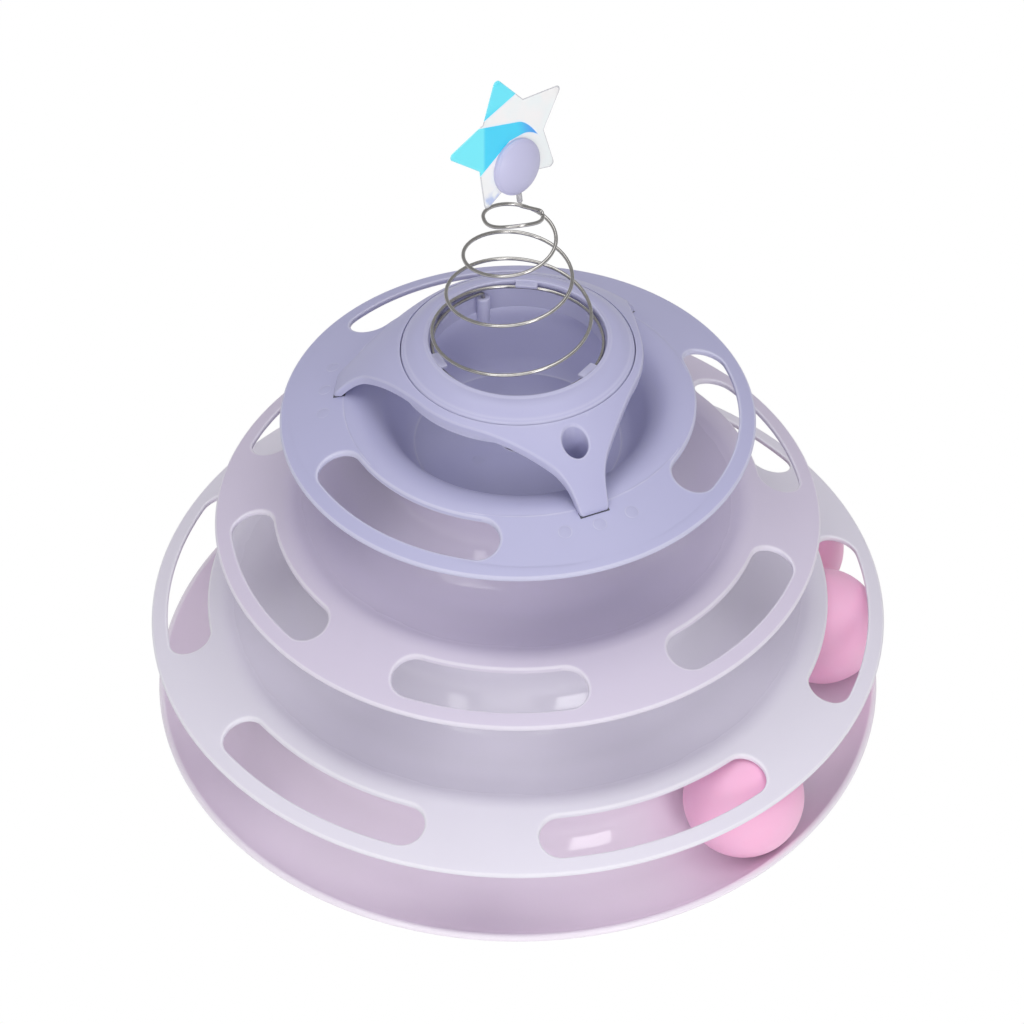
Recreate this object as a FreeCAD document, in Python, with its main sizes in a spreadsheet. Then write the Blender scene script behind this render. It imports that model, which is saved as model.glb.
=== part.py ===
import FreeCAD, Part
import math
import os
import Sketcher

# A tower of stacked ball tracks for a cat: a dished base, three slotted umbrella tiers,
# a three-legged cover that holds a conical spring, and a star ornament on the spring.
# The origin is the middle of the footprint, on the surface that the toy stands on. +Z is up.

Vector = FreeCAD.Vector
DOCUMENT = FreeCAD.newDocument("cat_ball_track_toy")
SHEET = DOCUMENT.addObject("Spreadsheet::Sheet", "Sizes")
FULL_TURN = 360
HALF_TURN = 180

# Driving dimensions, in millimetres and degrees.
DIMENSIONS = {
    # moulded walls and fits
    "wall": 2.2,
    "fit_clearance": 0.3,
    # balls
    "ball_radius": 20.0,
    "ball_lift": 0.25,
    "ball_side_play": 2.2,
    "ball_roof_play": 0.3,
    "ball_gap": 0.5,
    "ball_front_angle": -39.1,
    "ball_middle_angle": 9.2,
    # base tray
    "base_wall": 2.4,
    "base_rim_inset": 0.3,
    "base_rim_height": 11.5,
    "base_floor_height": 5.8,
    "base_track_inset": 19.2,
    "pad_count": 6,
    "pad_radius": 7.0,
    "pad_height": 2.4,
    "pad_stand_off": 1.0,
    "pad_play": 0.15,
    "pad_seat_wall": 1.5,
    "rib_count": 6,
    "rib_depth": 4.0,
    "rib_width": 2.0,
    "rib_start": 12.0,
    # tiers
    "lower_rim_radius": 124.4,
    "middle_rim_step": 24.0,
    "top_rim_step": 23.4,
    "storey_play": 2.15,
    "lower_column_inset": 64.4,
    "middle_column_inset": 63.9,
    "flange_slope": 18.3,
    "crest_inset": 24.5,
    "crest_rounding": 9.0,
    "track_inset": 43.0,
    "valley_rounding": 48.0,
    "column_fillet": 20.0,
    "seat_step": 0.4,
    "seat_skin": 0.3,
    "collar_depth": 7.0,
    "collar_wall": 2.0,
    # slots in the flanges
    "slot_outer_inset": 5.5,
    "slot_inner_inset": 19.4,
    "slot_count": 6,
    "slot_angle": 41.0,
    "middle_slot_turn": 30.0,
    "top_slot_count": 3,
    "top_slot_angle": 62.0,
    # bowl in the top tier
    "bowl_floor_inset": 2.8,
    "bowl_floor_drop": 10.4,
    "bowl_crest_rounding": 12.0,
    "bowl_wall_slope": 65.0,
    "bowl_foot_rounding": 10.0,
    "bowl_foot_slope": 30.0,
    "bowl_hole_radius": 5.2,
    # three-legged cover
    "leg_count": 3,
    "dome_overreach": 12.7,
    "dome_wall": 2.4,
    "foot_lip": 1.48,
    "ring_opening_play": 0.5,
    "seam_step": 9.2,
    "seam_gap": 0.25,
    "shelf_wall": 2.0,
    "shelf_play": 0.1,
    "shelf_shoulder": 2.0,
    "cover_edge_step": 2.5,
    "well_play": 1.1,
    "well_wall": 2.0,
    "well_depth": 9.0,
    "leg_inset": 17.7,
    "foot_half_width": 4.75,
    "foot_play": 0.1,
    "leg_taper": 11.0,
    "leg_flare": 46.0,
    "leg_fillet": 17.0,
    "tab_inset": 2.2,
    "tab_wall": 1.9,
    "tab_width": 5.0,
    "tab_root": 1.8,
    "tab_depth": 3.4,
    "tab_hook": 0.9,
    "wand_socket_inset": 15.6,
    "wand_bore_radius": 4.1,
    "wand_socket_wall": 1.9,
    "wand_socket_depth": 14.0,
    "wand_socket_floor": 1.6,
    "post_angle": 120.0,
    "post_radius": 2.2,
    "post_height": 9.0,
    "post_bore_radius": 0.6,
    "ledge_angle": 36.0,
    "ledge_width": 4.5,
    "ledge_reach": 2.2,
    "ledge_height": 1.4,
    "ring_wall": 2.2,
    "ring_tab_angle": 90.0,
    "ring_tab_width": 7.2,
    "ring_tab_reach": 2.6,
    "ring_tab_height": 1.0,
    "ring_tab_root": 1.0,
    "ring_tab_drop": 0.1,
    "cut_overrun": 10.0,
    # spring
    "wire_radius": 0.5,
    "coil_radius": 27.3,
    "coil_drop": 2.8,
    "coil_turns": 0.92,
    "coil_rise": 0.6,
    "straight_turns": 0.17,
    "cone_turns": 3.1,
    "cone_top_radius": 9.9,
    "spring_pitch": 15.44,
    "closing_turns": 0.5,
    "closing_radius": 8.2,
    "closing_rise": 0.5,
    "closing_lead": 2.56,
    "spring_lean_x": -0.5,
    "spring_lean_y": -1.3,
    "wire_bend_radius": 1.6,
    "wire_lead": 2.0,
    "wire_end_length": 5.0,
    # ornament
    "stem_x": 1.0,
    "stem_y": -1.9,
    "stem_height": 55.8,
    "stem_length": 8.0,
    "ornament_turn": 48.5,
    "ornament_tilt": 9.0,
    "ornament_rise": 14.07,
    "shell_radius": 9.0,
    "shell_side": 1.4,
    "shell_dome": 1.5,
    "peg_radius": 1.4,
    "peg_play": 0.1,
    "peg_length": 1.2,
    "ferrule_radius": 0.9,
    "ferrule_bore_radius": 0.55,
    "ferrule_start": 1.6,
    "ferrule_length": 7.0,
    "ferrule_head_radius": 1.35,
    "ferrule_head_length": 1.2,
    "ferrule_play": 0.05,
    "star_tip_count": 5,
    "star_tip_radius": 23.4,
    "star_notch_radius": 13.1,
    "star_thickness": 0.3,
    "star_tip_rounding": 1.4,
    "star_side": -1.2,
    "star_rise": 9.6,
    "star_roll": 5.5,
}


class Size:
    """A size that knows both its value and the spreadsheet expression that gives it."""

    def __init__(self, value, text):
        self.value = float(value)
        self.text = text

    @staticmethod
    def of(other):
        return other if isinstance(other, Size) else Size(other, f"{other:.10g}")

    def __add__(self, other):
        other = Size.of(other)
        return Size(self.value + other.value, f"({self.text} + {other.text})")

    def __sub__(self, other):
        other = Size.of(other)
        return Size(self.value - other.value, f"({self.text} - {other.text})")

    def __mul__(self, other):
        other = Size.of(other)
        return Size(self.value * other.value, f"({self.text} * {other.text})")

    def __truediv__(self, other):
        other = Size.of(other)
        return Size(self.value / other.value, f"({self.text} / {other.text})")

    def __rsub__(self, other):
        return Size.of(other) - self

    def __radd__(self, other):
        return Size.of(other) + self

    def __rmul__(self, other):
        return Size.of(other) * self

    def __neg__(self):
        return Size(-self.value, f"(0 - {self.text})")


def size(alias):
    """The driving dimension of that name."""
    return Size(DIMENSIONS[alias], f"Sizes.{alias}")


def sine(angle):
    angle = Size.of(angle)
    return Size(math.sin(math.radians(angle.value)), f"sin({angle.text})")


def cosine(angle):
    angle = Size.of(angle)
    return Size(math.cos(math.radians(angle.value)), f"cos({angle.text})")


def arcsine(ratio):
    return Size(math.degrees(math.asin(ratio.value)), f"(asin({ratio.text}) / 1 deg)")


def tangent(angle):
    return sine(angle) / cosine(angle)


def root(number):
    return Size(math.sqrt(number.value), f"sqrt({number.text})")


def polar(radius, angle):
    """The plan point at a radius and an angle from +X."""
    return radius * cosine(angle), radius * sine(angle)


def fill_sheet():
    """Writes each driving dimension into its own cell, with its name beside it."""
    for row, (alias, value) in enumerate(DIMENSIONS.items(), start=1):
        SHEET.set(f"A{row}", alias.replace("_", " "))
        SHEET.set(f"B{row}", str(value))
        SHEET.setAlias(f"B{row}", alias)
    DOCUMENT.recompute()


def new_body(name):
    body = DOCUMENT.addObject("PartDesign::Body", name)
    body.Label = name
    return body


def origin_item(body, role):
    return next(item for item in body.Origin.OriginFeatures if item.Role == role)


def new_sketch(body, name, plane="XY_Plane", height=None):
    """A sketch on one of the body's own origin planes, raised by height along its normal."""
    sketch = body.newObject("Sketcher::SketchObject", name)
    sketch.AttachmentSupport = [(origin_item(body, plane), "")]
    sketch.MapMode = "FlatFace"
    if height is not None:
        sketch.AttachmentOffset = FreeCAD.Placement(Vector(0, 0, height.value), FreeCAD.Rotation())
        sketch.setExpression("AttachmentOffset.Base.z", height.text)
    return sketch


def bind(sketch, constraint, amount):
    """Adds a constraint and ties its value to the spreadsheet."""
    index = sketch.addConstraint(constraint)
    sketch.setExpression(f"Constraints[{index}]", amount.text)


def place_point(sketch, geometry, end, x, y):
    """Fixes one end of an edge at x and y from the sketch's origin."""
    for axis, kind, amount in ((-2, "DistanceX", Size.of(x)), (-1, "DistanceY", Size.of(y))):
        if abs(amount.value) < 1e-9:
            sketch.addConstraint(Sketcher.Constraint("PointOnObject", geometry, end, axis))
        else:
            rule = Sketcher.Constraint(kind, -1, 1, geometry, end, amount.value)
            bind(sketch, rule, amount)


def arc_between(first, last, radius, turn):
    """The shorter arc from first to last. It turns left for turn 1 and right for turn -1."""
    chord = last - first
    middle = (first + last) * 0.5
    reach = math.sqrt(max(radius * radius - chord.Length * chord.Length / 4.0, 0.0))
    side = Vector(-chord.y, chord.x, 0).normalize() * (turn * reach)
    centre = middle + side
    ends = (first, last) if turn > 0 else (last, first)
    angles = [math.atan2(p.y - centre.y, p.x - centre.x) for p in ends]
    circle = Part.Circle(centre, Vector(0, 0, 1), radius)
    return Part.ArcOfCircle(circle, angles[0], angles[1])


def line_to(x, y):
    return Size.of(x), Size.of(y), None, 0


def arc_to(x, y, radius, turn):
    """An arc step: turn is 1 for a left-hand arc and -1 for a right-hand one."""
    return Size.of(x), Size.of(y), Size.of(radius), turn


def draw_outline(sketch, steps):
    """Draws a closed outline. Each step is an edge that ends at its own point."""
    points = [Vector(x.value, y.value, 0) for x, y, _, _ in steps]
    ends = []
    for index, (x, y, radius, turn) in enumerate(steps):
        first, last = points[index - 1], points[index]
        if radius is None:
            edge = sketch.addGeometry(Part.LineSegment(first, last))
        else:
            edge = sketch.addGeometry(arc_between(first, last, radius.value, turn))
            bind(sketch, Sketcher.Constraint("Radius", edge, radius.value), radius)
        ends.append((edge, 1, 2) if turn >= 0 else (edge, 2, 1))
    for index, (edge, _, last_end) in enumerate(ends):
        follower, first_end, _ = ends[(index + 1) % len(ends)]
        sketch.addConstraint(Sketcher.Constraint("Coincident", edge, last_end, follower, first_end))
        place_point(sketch, edge, last_end, steps[index][0], steps[index][1])
    return sketch


def draw_circle(sketch, x, y, radius):
    centre = Vector(Size.of(x).value, Size.of(y).value, 0)
    edge = sketch.addGeometry(Part.Circle(centre, Vector(0, 0, 1), radius.value))
    bind(sketch, Sketcher.Constraint("Radius", edge, radius.value), radius)
    place_point(sketch, edge, 3, x, y)
    return sketch


def revolve(body, sketch, name, kind="Revolution"):
    """Turns a sketch on the XZ plane once round the body's Z axis."""
    feature = body.newObject(f"PartDesign::{kind}", name)
    feature.Profile = sketch
    feature.ReferenceAxis = (sketch, ["V_Axis"])
    feature.Angle = FULL_TURN
    sketch.Visibility = False
    return feature


def pad(body, sketch, name, length):
    feature = body.newObject("PartDesign::Pad", name)
    feature.Profile = sketch
    feature.Length = length.value
    feature.setExpression("Length", length.text)
    return feature


def pocket_up(body, sketch, name, length=None):
    """Cuts along +Z from the sketch, by a length or right through."""
    feature = body.newObject("PartDesign::Pocket", name)
    feature.Profile = sketch
    feature.Reversed = True
    if length is None:
        feature.Type = "ThroughAll"
    else:
        feature.Length = length.value
        feature.setExpression("Length", length.text)
    return feature


def repeat_round(body, feature, name, count):
    """Repeats a feature evenly round the body's Z axis."""
    pattern = body.newObject("PartDesign::PolarPattern", name)
    pattern.Originals = [feature]
    pattern.Axis = (origin_item(body, "Z_Axis"), [""])
    pattern.Angle = FULL_TURN
    pattern.Occurrences = int(count.value)
    pattern.setExpression("Occurrences", count.text)
    body.Tip = pattern
    return pattern


# ---------------------------------------------------------------- shared tier geometry


class Flange:
    """The umbrella of one tier: a cone from its rounded rim in to a rounded crest."""

    def __init__(self, rim_radius, rim_height, crest_radius, crest_rounding):
        self.wall = size("wall")
        self.slope = size("flange_slope")
        self.rim = (rim_radius - self.wall / 2, rim_height)
        self.crest_radius = crest_radius
        self.rounding = crest_rounding
        upper_x, upper_y = self.rim_point(self.wall / 2)
        run = upper_x - crest_radius - crest_rounding * sine(self.slope)
        self.crest_centre_height = (
            upper_y + run * tangent(self.slope) - crest_rounding * cosine(self.slope)
        )

    def rim_point(self, offset):
        """A point on the rim's end, offset square to the cone from its middle."""
        x, y = self.rim
        return x + offset * sine(self.slope), y + offset * cosine(self.slope)

    def rim_tip(self):
        x, y = self.rim
        return x + self.wall / 2 * cosine(self.slope), y - self.wall / 2 * sine(self.slope)

    def crest_start(self, depth):
        """Where the cone meets the crest's arc, depth below the upper face."""
        reach = self.rounding - depth
        return (
            self.crest_radius + reach * sine(self.slope),
            self.crest_centre_height + reach * cosine(self.slope),
        )

    def crest_end(self, depth, out, up):
        """Where the crest's arc ends on its inner side, facing (-out, up)."""
        reach = self.rounding - depth
        return self.crest_radius - reach * out, self.crest_centre_height + reach * up

    def rim_steps(self):
        """The outline from the underside round the rim and back up to the crest."""
        half = self.wall / 2
        return [
            line_to(*self.rim_point(-half)),
            arc_to(*self.rim_tip(), half, 1),
            arc_to(*self.rim_point(half), half, 1),
            line_to(*self.crest_start(0)),
        ]


def track_tier_flange(rim_radius, rim_height):
    crest_radius = rim_radius - size("crest_inset")
    return Flange(rim_radius, rim_height, crest_radius, size("crest_rounding"))


def valley_fall():
    """Sine and cosine of the slope where the crest turns into the valley."""
    run = size("track_inset") - size("crest_inset")
    out = run / (size("crest_rounding") + size("valley_rounding"))
    return out, root(1 - out * out)


def valley_floor_height(rim_radius, rim_height):
    """Height of the lowest line of the track in a tier's upper face."""
    flange = track_tier_flange(rim_radius, rim_height)
    _, up = valley_fall()
    both = size("crest_rounding") + size("valley_rounding")
    return flange.crest_centre_height + flange.rounding - both * (1 - up)


def slot_outline(sketch, rim_radius, slot_angle, middle_angle):
    """A curved slot with round ends, as long as slot_angle as seen from the axis."""
    outer = rim_radius - size("slot_outer_inset")
    inner = rim_radius - size("slot_inner_inset")
    middle = (outer + inner) / 2
    half_width = (outer - inner) / 2
    cap_angle = half_width / middle * (HALF_TURN / math.pi)
    reach = slot_angle / 2 - cap_angle
    steps = []
    for end in (1, -1):
        turn_angle = middle_angle + end * reach
        outer_x, outer_y = polar(outer, turn_angle)
        inner_x, inner_y = polar(inner, turn_angle)
        centre_x, centre_y = polar(middle, turn_angle)
        tip_x = centre_x - end * half_width * sine(turn_angle)
        tip_y = centre_y + end * half_width * cosine(turn_angle)
        if end > 0:
            steps.append(arc_to(outer_x, outer_y, outer, 1))
            steps.append(arc_to(tip_x, tip_y, half_width, 1))
            steps.append(arc_to(inner_x, inner_y, half_width, 1))
        else:
            steps.append(arc_to(inner_x, inner_y, inner, -1))
            steps.append(arc_to(tip_x, tip_y, half_width, 1))
            steps.append(arc_to(outer_x, outer_y, half_width, 1))
    draw_outline(sketch, steps)


def cut_slots(body, rim_radius, slot_angle, middle_angle, count):
    sketch = new_sketch(body, f"{body.Name}_slot_outline")
    slot_outline(sketch, rim_radius, slot_angle, middle_angle)
    cut = pocket_up(body, sketch, f"{body.Name}_slot")
    repeat_round(body, cut, f"{body.Name}_slots", count)


def add_collar(body, lower_column_radius, lower_wall, seat_height, skin_height):
    """The ring under a tier that sits on the column below and reaches down inside it."""
    sketch = new_sketch(body, f"{body.Name}_collar_profile", "XZ_Plane")
    outside = lower_column_radius - lower_wall - size("fit_clearance")
    inside = outside - size("collar_wall")
    foot = seat_height - size("collar_depth")
    steps = [
        line_to(inside, skin_height),
        line_to(inside, foot),
        line_to(outside, foot),
        line_to(outside, seat_height),
        line_to(lower_column_radius, seat_height),
        line_to(lower_column_radius, skin_height),
    ]
    draw_outline(sketch, steps)
    revolve(body, sketch, f"{body.Name}_collar")


def add_column_ribs(body, column_radius, wall, foot_height, top_height):
    """Upright stiffening ribs inside a column, which stop just below the collar above."""
    bite = wall / 2
    outer = column_radius - bite
    inner = column_radius - wall - size("rib_depth")
    half = size("rib_width") / 2
    sketch = new_sketch(body, f"{body.Name}_rib_outline", "XY_Plane", foot_height)
    steps = [
        line_to(inner, -half),
        line_to(outer, -half),
        line_to(outer, half),
        line_to(inner, half),
    ]
    draw_outline(sketch, steps)
    head = top_height - size("collar_depth") - size("fit_clearance")
    rib = pad(body, sketch, f"{body.Name}_rib", head - foot_height)
    repeat_round(body, rib, f"{body.Name}_ribs", size("rib_count"))


# ---------------------------------------------------------------- places in the stack

LOWER_RIM = size("lower_rim_radius")
MIDDLE_RIM = LOWER_RIM - size("middle_rim_step")
TOP_RIM = MIDDLE_RIM - size("top_rim_step")
BASE_TRACK = LOWER_RIM - size("base_track_inset")
BASE_COLUMN = BASE_TRACK - size("ball_radius") - size("ball_side_play")
LOWER_COLUMN = LOWER_RIM - size("lower_column_inset")
MIDDLE_COLUMN = MIDDLE_RIM - size("middle_column_inset")
BALL_HEIGHT = size("base_floor_height") + size("ball_radius") + size("ball_lift")


def lower_rim_height():
    """The height at which the lowest umbrella just clears a ball in the base track."""
    half = size("wall") / 2
    slope = size("flange_slope")
    above_ball = (size("ball_radius") + size("ball_roof_play") + half) / cosine(slope)
    return BALL_HEIGHT + above_ball - (LOWER_RIM - half - BASE_TRACK) * tangent(slope)


STOREY = size("ball_radius") * 2 + size("storey_play")
LOWER_RIM_HEIGHT = lower_rim_height()
MIDDLE_RIM_HEIGHT = LOWER_RIM_HEIGHT + STOREY
TOP_RIM_HEIGHT = MIDDLE_RIM_HEIGHT + STOREY
LOWER_FLOOR = valley_floor_height(LOWER_RIM, LOWER_RIM_HEIGHT)
MIDDLE_FLOOR = valley_floor_height(MIDDLE_RIM, MIDDLE_RIM_HEIGHT)
BOWL_FLOOR = TOP_RIM_HEIGHT - size("bowl_floor_drop")
LOWER_SEAT = LOWER_FLOOR - size("wall") - size("seat_step")
MIDDLE_SEAT = MIDDLE_FLOOR - size("wall") - size("seat_step")
TOP_SEAT = BOWL_FLOOR - size("wall") - size("seat_step")
LEG_REACH = TOP_RIM - size("leg_inset")
TAB_DISTANCE = LEG_REACH - size("tab_inset")
WAND_SOCKET_DISTANCE = LEG_REACH - size("wand_socket_inset")


# ---------------------------------------------------------------- base and balls


def base_tray():
    """The dished track of the lowest storey with the column that carries the tower."""
    body = new_body("base_tray")
    wall = size("base_wall")
    half = wall / 2
    floor = size("base_floor_height")
    track = BASE_TRACK
    column = BASE_COLUMN
    fillet = size("column_fillet")
    rim_x = LOWER_RIM - size("base_rim_inset") - half
    rim_y = size("base_rim_height")
    across = rim_x - track
    rise = rim_y - floor + half
    dish = (across * across + rise * rise) / (2 * rise)
    out = across / dish
    up = 1 - rise / dish
    steps = [
        arc_to(column + fillet, floor - wall, fillet + wall, 1),
        line_to(track, floor - wall),
        arc_to(rim_x + half * out, rim_y - half * up, dish + half, 1),
        arc_to(rim_x + half * up, rim_y + half * out, half, 1),
        arc_to(rim_x - half * out, rim_y + half * up, half, 1),
        arc_to(track, floor, dish - half, -1),
        line_to(column + fillet, floor),
        arc_to(column, floor + fillet, fillet, -1),
        line_to(column, LOWER_SEAT),
        line_to(column - wall, LOWER_SEAT),
        line_to(column - wall, floor + fillet),
    ]
    sketch = new_sketch(body, "base_profile", "XZ_Plane")
    revolve(body, draw_outline(sketch, steps), "base_shell")
    add_pad_seats(body, floor)
    add_column_ribs(body, column, wall, floor + size("rib_start"), LOWER_SEAT)
    return body


def pad_circle():
    """The pads stand where the fillet of the column runs out into the tray's floor."""
    return BASE_COLUMN + size("column_fillet")


def add_pad_seats(body, floor):
    """Round bosses under the tray, each with a shallow recess for a rubber pad."""
    centre = pad_circle()
    recess = size("pad_radius") + size("pad_play")
    stand_off = size("pad_stand_off")
    outline = new_sketch(body, "pad_boss_outline", height=stand_off)
    draw_circle(outline, centre, 0, recess + size("pad_seat_wall"))
    boss = pad(body, outline, "pad_boss", floor - size("wall") / 4 - stand_off)
    repeat_round(body, boss, "pad_bosses", size("pad_count"))
    outline = new_sketch(body, "pad_recess_outline", height=stand_off)
    draw_circle(outline, centre, 0, recess)
    cut = pocket_up(body, outline, "pad_recess", size("pad_height") - stand_off)
    repeat_round(body, cut, "pad_recesses", size("pad_count"))


def foot_pads():
    """The rubber pads that the toy stands on."""
    bodies = []
    count = size("pad_count")
    for index in range(int(count.value)):
        body = new_body(f"foot_pad_{index + 1}")
        x, y = polar(pad_circle(), Size.of(FULL_TURN * index) / count)
        sketch = draw_circle(new_sketch(body, f"{body.Name}_outline"), x, y, size("pad_radius"))
        pad(body, sketch, f"{body.Name}_disc", size("pad_height"))
        bodies.append(body)
    return bodies


def balls():
    """The three balls in the base track. The back one lies close behind the middle one."""
    spheres = []
    radius = size("ball_radius")
    front, middle = size("ball_front_angle"), size("ball_middle_angle")
    back = middle + 2 * arcsine((radius + size("ball_gap") / 2) / BASE_TRACK)
    for place, angle in (("front", front), ("middle", middle), ("back", back)):
        ball = DOCUMENT.addObject("Part::Sphere", f"ball_{place}")
        ball.Label = ball.Name
        ball.setExpression("Radius", radius.text)
        x, y = polar(BASE_TRACK, angle)
        for axis, amount in zip("xyz", (x, y, BALL_HEIGHT)):
            ball.setExpression(f"Placement.Base.{axis}", amount.text)
        spheres.append(ball)
    return spheres


# ---------------------------------------------------------------- tiers


def track_tier(name, rim_radius, rim_height, column_radius, column_top):
    """One umbrella tier: round rim, slotted slope, crest, ball track and column."""
    body = new_body(name)
    wall = size("wall")
    fillet = size("column_fillet")
    valley = size("valley_rounding")
    flange = track_tier_flange(rim_radius, rim_height)
    floor = valley_floor_height(rim_radius, rim_height)
    bottom = rim_radius - size("track_inset")
    out, up = valley_fall()
    underside_x = bottom + (valley + wall) * out
    underside_y = floor + valley - (valley + wall) * up
    steps = [
        line_to(column_radius - wall, floor + fillet),
        arc_to(column_radius + fillet, floor - wall, fillet + wall, 1),
        line_to(bottom, floor - wall),
        arc_to(underside_x, underside_y, valley + wall, 1),
        arc_to(*flange.crest_start(wall), flange.rounding - wall, -1),
        *flange.rim_steps(),
        arc_to(*flange.crest_end(0, out, up), flange.rounding, 1),
        arc_to(bottom, floor, valley, -1),
        line_to(column_radius + fillet, floor),
        arc_to(column_radius, floor + fillet, fillet, -1),
        line_to(column_radius, column_top),
        line_to(column_radius - wall, column_top),
    ]
    sketch = new_sketch(body, f"{name}_profile", "XZ_Plane")
    revolve(body, draw_outline(sketch, steps), f"{name}_shell")
    add_column_ribs(body, column_radius, wall, floor + size("rib_start"), column_top)
    return body


def lower_tier():
    body = track_tier("lower_tier", LOWER_RIM, LOWER_RIM_HEIGHT, LOWER_COLUMN, MIDDLE_SEAT)
    skin = LOWER_FLOOR - size("seat_skin")
    add_collar(body, BASE_COLUMN, size("base_wall"), LOWER_SEAT, skin)
    cut_slots(body, LOWER_RIM, size("slot_angle"), Size.of(0), size("slot_count"))
    return body


def middle_tier():
    body = track_tier("middle_tier", MIDDLE_RIM, MIDDLE_RIM_HEIGHT, MIDDLE_COLUMN, TOP_SEAT)
    skin = MIDDLE_FLOOR - size("seat_skin")
    add_collar(body, LOWER_COLUMN, size("wall"), MIDDLE_SEAT, skin)
    turn = size("middle_slot_turn")
    cut_slots(body, MIDDLE_RIM, size("slot_angle"), turn, size("slot_count"))
    return body


class Bowl:
    """The foot of the bowl's wall: an arc that starts at a crease round the floor."""

    def __init__(self):
        self.rounding = size("bowl_foot_rounding")
        self.low = size("bowl_foot_slope")
        self.steep = size("bowl_wall_slope")
        self.corner = MIDDLE_COLUMN - size("bowl_floor_inset")
        self.centre_x = self.corner - self.rounding * sine(self.low)
        self.centre_y = BOWL_FLOOR + self.rounding * cosine(self.low)

    def wall_point(self, angle, depth):
        """The wall where its slope is angle, at a depth under its face."""
        reach = self.rounding + depth
        return self.centre_x + reach * sine(angle), self.centre_y - reach * cosine(angle)


def top_flange():
    """The top tier's umbrella. Its crest runs into the bowl's steep straight wall."""
    bowl = Bowl()
    slope = size("flange_slope")
    rounding = size("bowl_crest_rounding")
    start_x, start_y = bowl.wall_point(bowl.steep, 0)
    plain = Flange(TOP_RIM, TOP_RIM_HEIGHT, Size.of(0), rounding)
    upper_x, upper_y = plain.rim_point(plain.wall / 2)
    fall = upper_y - start_y + (upper_x - rounding * sine(slope)) * tangent(slope)
    arc = rounding * cosine(bowl.steep) - rounding * cosine(slope)
    wall = (rounding * sine(bowl.steep) + start_x) * tangent(bowl.steep)
    crest_radius = (fall + arc + wall) / (tangent(bowl.steep) + tangent(slope))
    return Flange(TOP_RIM, TOP_RIM_HEIGHT, crest_radius, rounding)


def top_tier():
    """The smallest tier, with a bowl in its middle that the spring's cover stands over."""
    body = new_body("top_tier")
    wall = size("wall")
    hole = size("bowl_hole_radius")
    bowl = Bowl()
    flange = top_flange()
    under = BOWL_FLOOR - wall
    out, up = sine(bowl.steep), cosine(bowl.steep)
    thick = bowl.rounding + wall
    steps = [
        line_to(hole, under),
        line_to(bowl.corner + wall * tangent(bowl.low / 2), under),
        line_to(*bowl.wall_point(bowl.low, wall)),
        arc_to(*bowl.wall_point(bowl.steep, wall), thick, 1),
        line_to(*flange.crest_end(wall, out, up)),
        arc_to(*flange.crest_start(wall), flange.rounding - wall, -1),
        *flange.rim_steps(),
        arc_to(*flange.crest_end(0, out, up), flange.rounding, 1),
        line_to(*bowl.wall_point(bowl.steep, 0)),
        arc_to(bowl.corner, BOWL_FLOOR, bowl.rounding, -1),
        line_to(hole, BOWL_FLOOR),
    ]
    sketch = new_sketch(body, "top_tier_profile", "XZ_Plane")
    revolve(body, draw_outline(sketch, steps), "top_tier_shell")
    add_collar(body, MIDDLE_COLUMN, wall, TOP_SEAT, BOWL_FLOOR - size("seat_skin"))
    cut_slots(body, TOP_RIM, size("top_slot_angle"), Size.of(0), size("top_slot_count"))
    cut_tab_holes(body)
    return body


def cut_tab_holes(body):
    """A hole under each foot of the cover for the hooked tab that holds it down."""
    play = size("fit_clearance")
    half_wall = size("tab_wall") / 2 + play
    distance = TAB_DISTANCE
    sketch = new_sketch(body, "tab_hole_outline")
    half_width = size("tab_width") / 2 + play
    turned_box(sketch, distance - half_wall, distance + half_wall, half_width, Size.of(HALF_TURN))
    cut = pocket_up(body, sketch, "tab_hole")
    repeat_round(body, cut, "tab_holes", size("leg_count"))


# ---------------------------------------------------------------- cover and ring


def cone_height(distance):
    """Height of the top tier's sloping upper face, carried on to any distance."""
    x, y = top_flange().rim_point(size("wall") / 2)
    return y + (x - distance) * tangent(size("flange_slope"))


def dome_rise(radius, distance):
    """Height of a sphere above its own centre at a distance from the axis."""
    return root(radius * radius - distance * distance)


DOME_RADIUS = LEG_REACH + size("dome_overreach")
RING_OPENING = size("coil_radius") + size("wire_radius") + size("ring_opening_play")
WELL_RADIUS = size("coil_radius") + size("wire_radius") + size("well_play")
SEAM_RADIUS = RING_OPENING + size("seam_step")
COVER_EDGE = SEAM_RADIUS + size("cover_edge_step")
FOOT_TOP = cone_height(LEG_REACH) + size("foot_lip")
DOME_CENTRE = FOOT_TOP - dome_rise(DOME_RADIUS, LEG_REACH)
RING_TOP = DOME_CENTRE + dome_rise(DOME_RADIUS, RING_OPENING)
COIL_START = RING_TOP - size("coil_drop")
STEM_BASE = COIL_START + size("stem_height")


def on_dome(radius, distance):
    """Height of a sphere of the cover's dome at a distance from the axis."""
    return DOME_CENTRE + dome_rise(radius, distance)


def foot_heel(radius):
    """Distance at which a sphere of the dome comes down to the foot's sloping sole."""
    slope = tangent(size("flange_slope"))
    drop = cone_height(Size.of(0)) + size("foot_play") - DOME_CENTRE
    square = 1 + slope * slope
    inside = slope * slope * drop * drop - square * (drop * drop - radius * radius)
    return (slope * drop + root(inside)) / square


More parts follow.
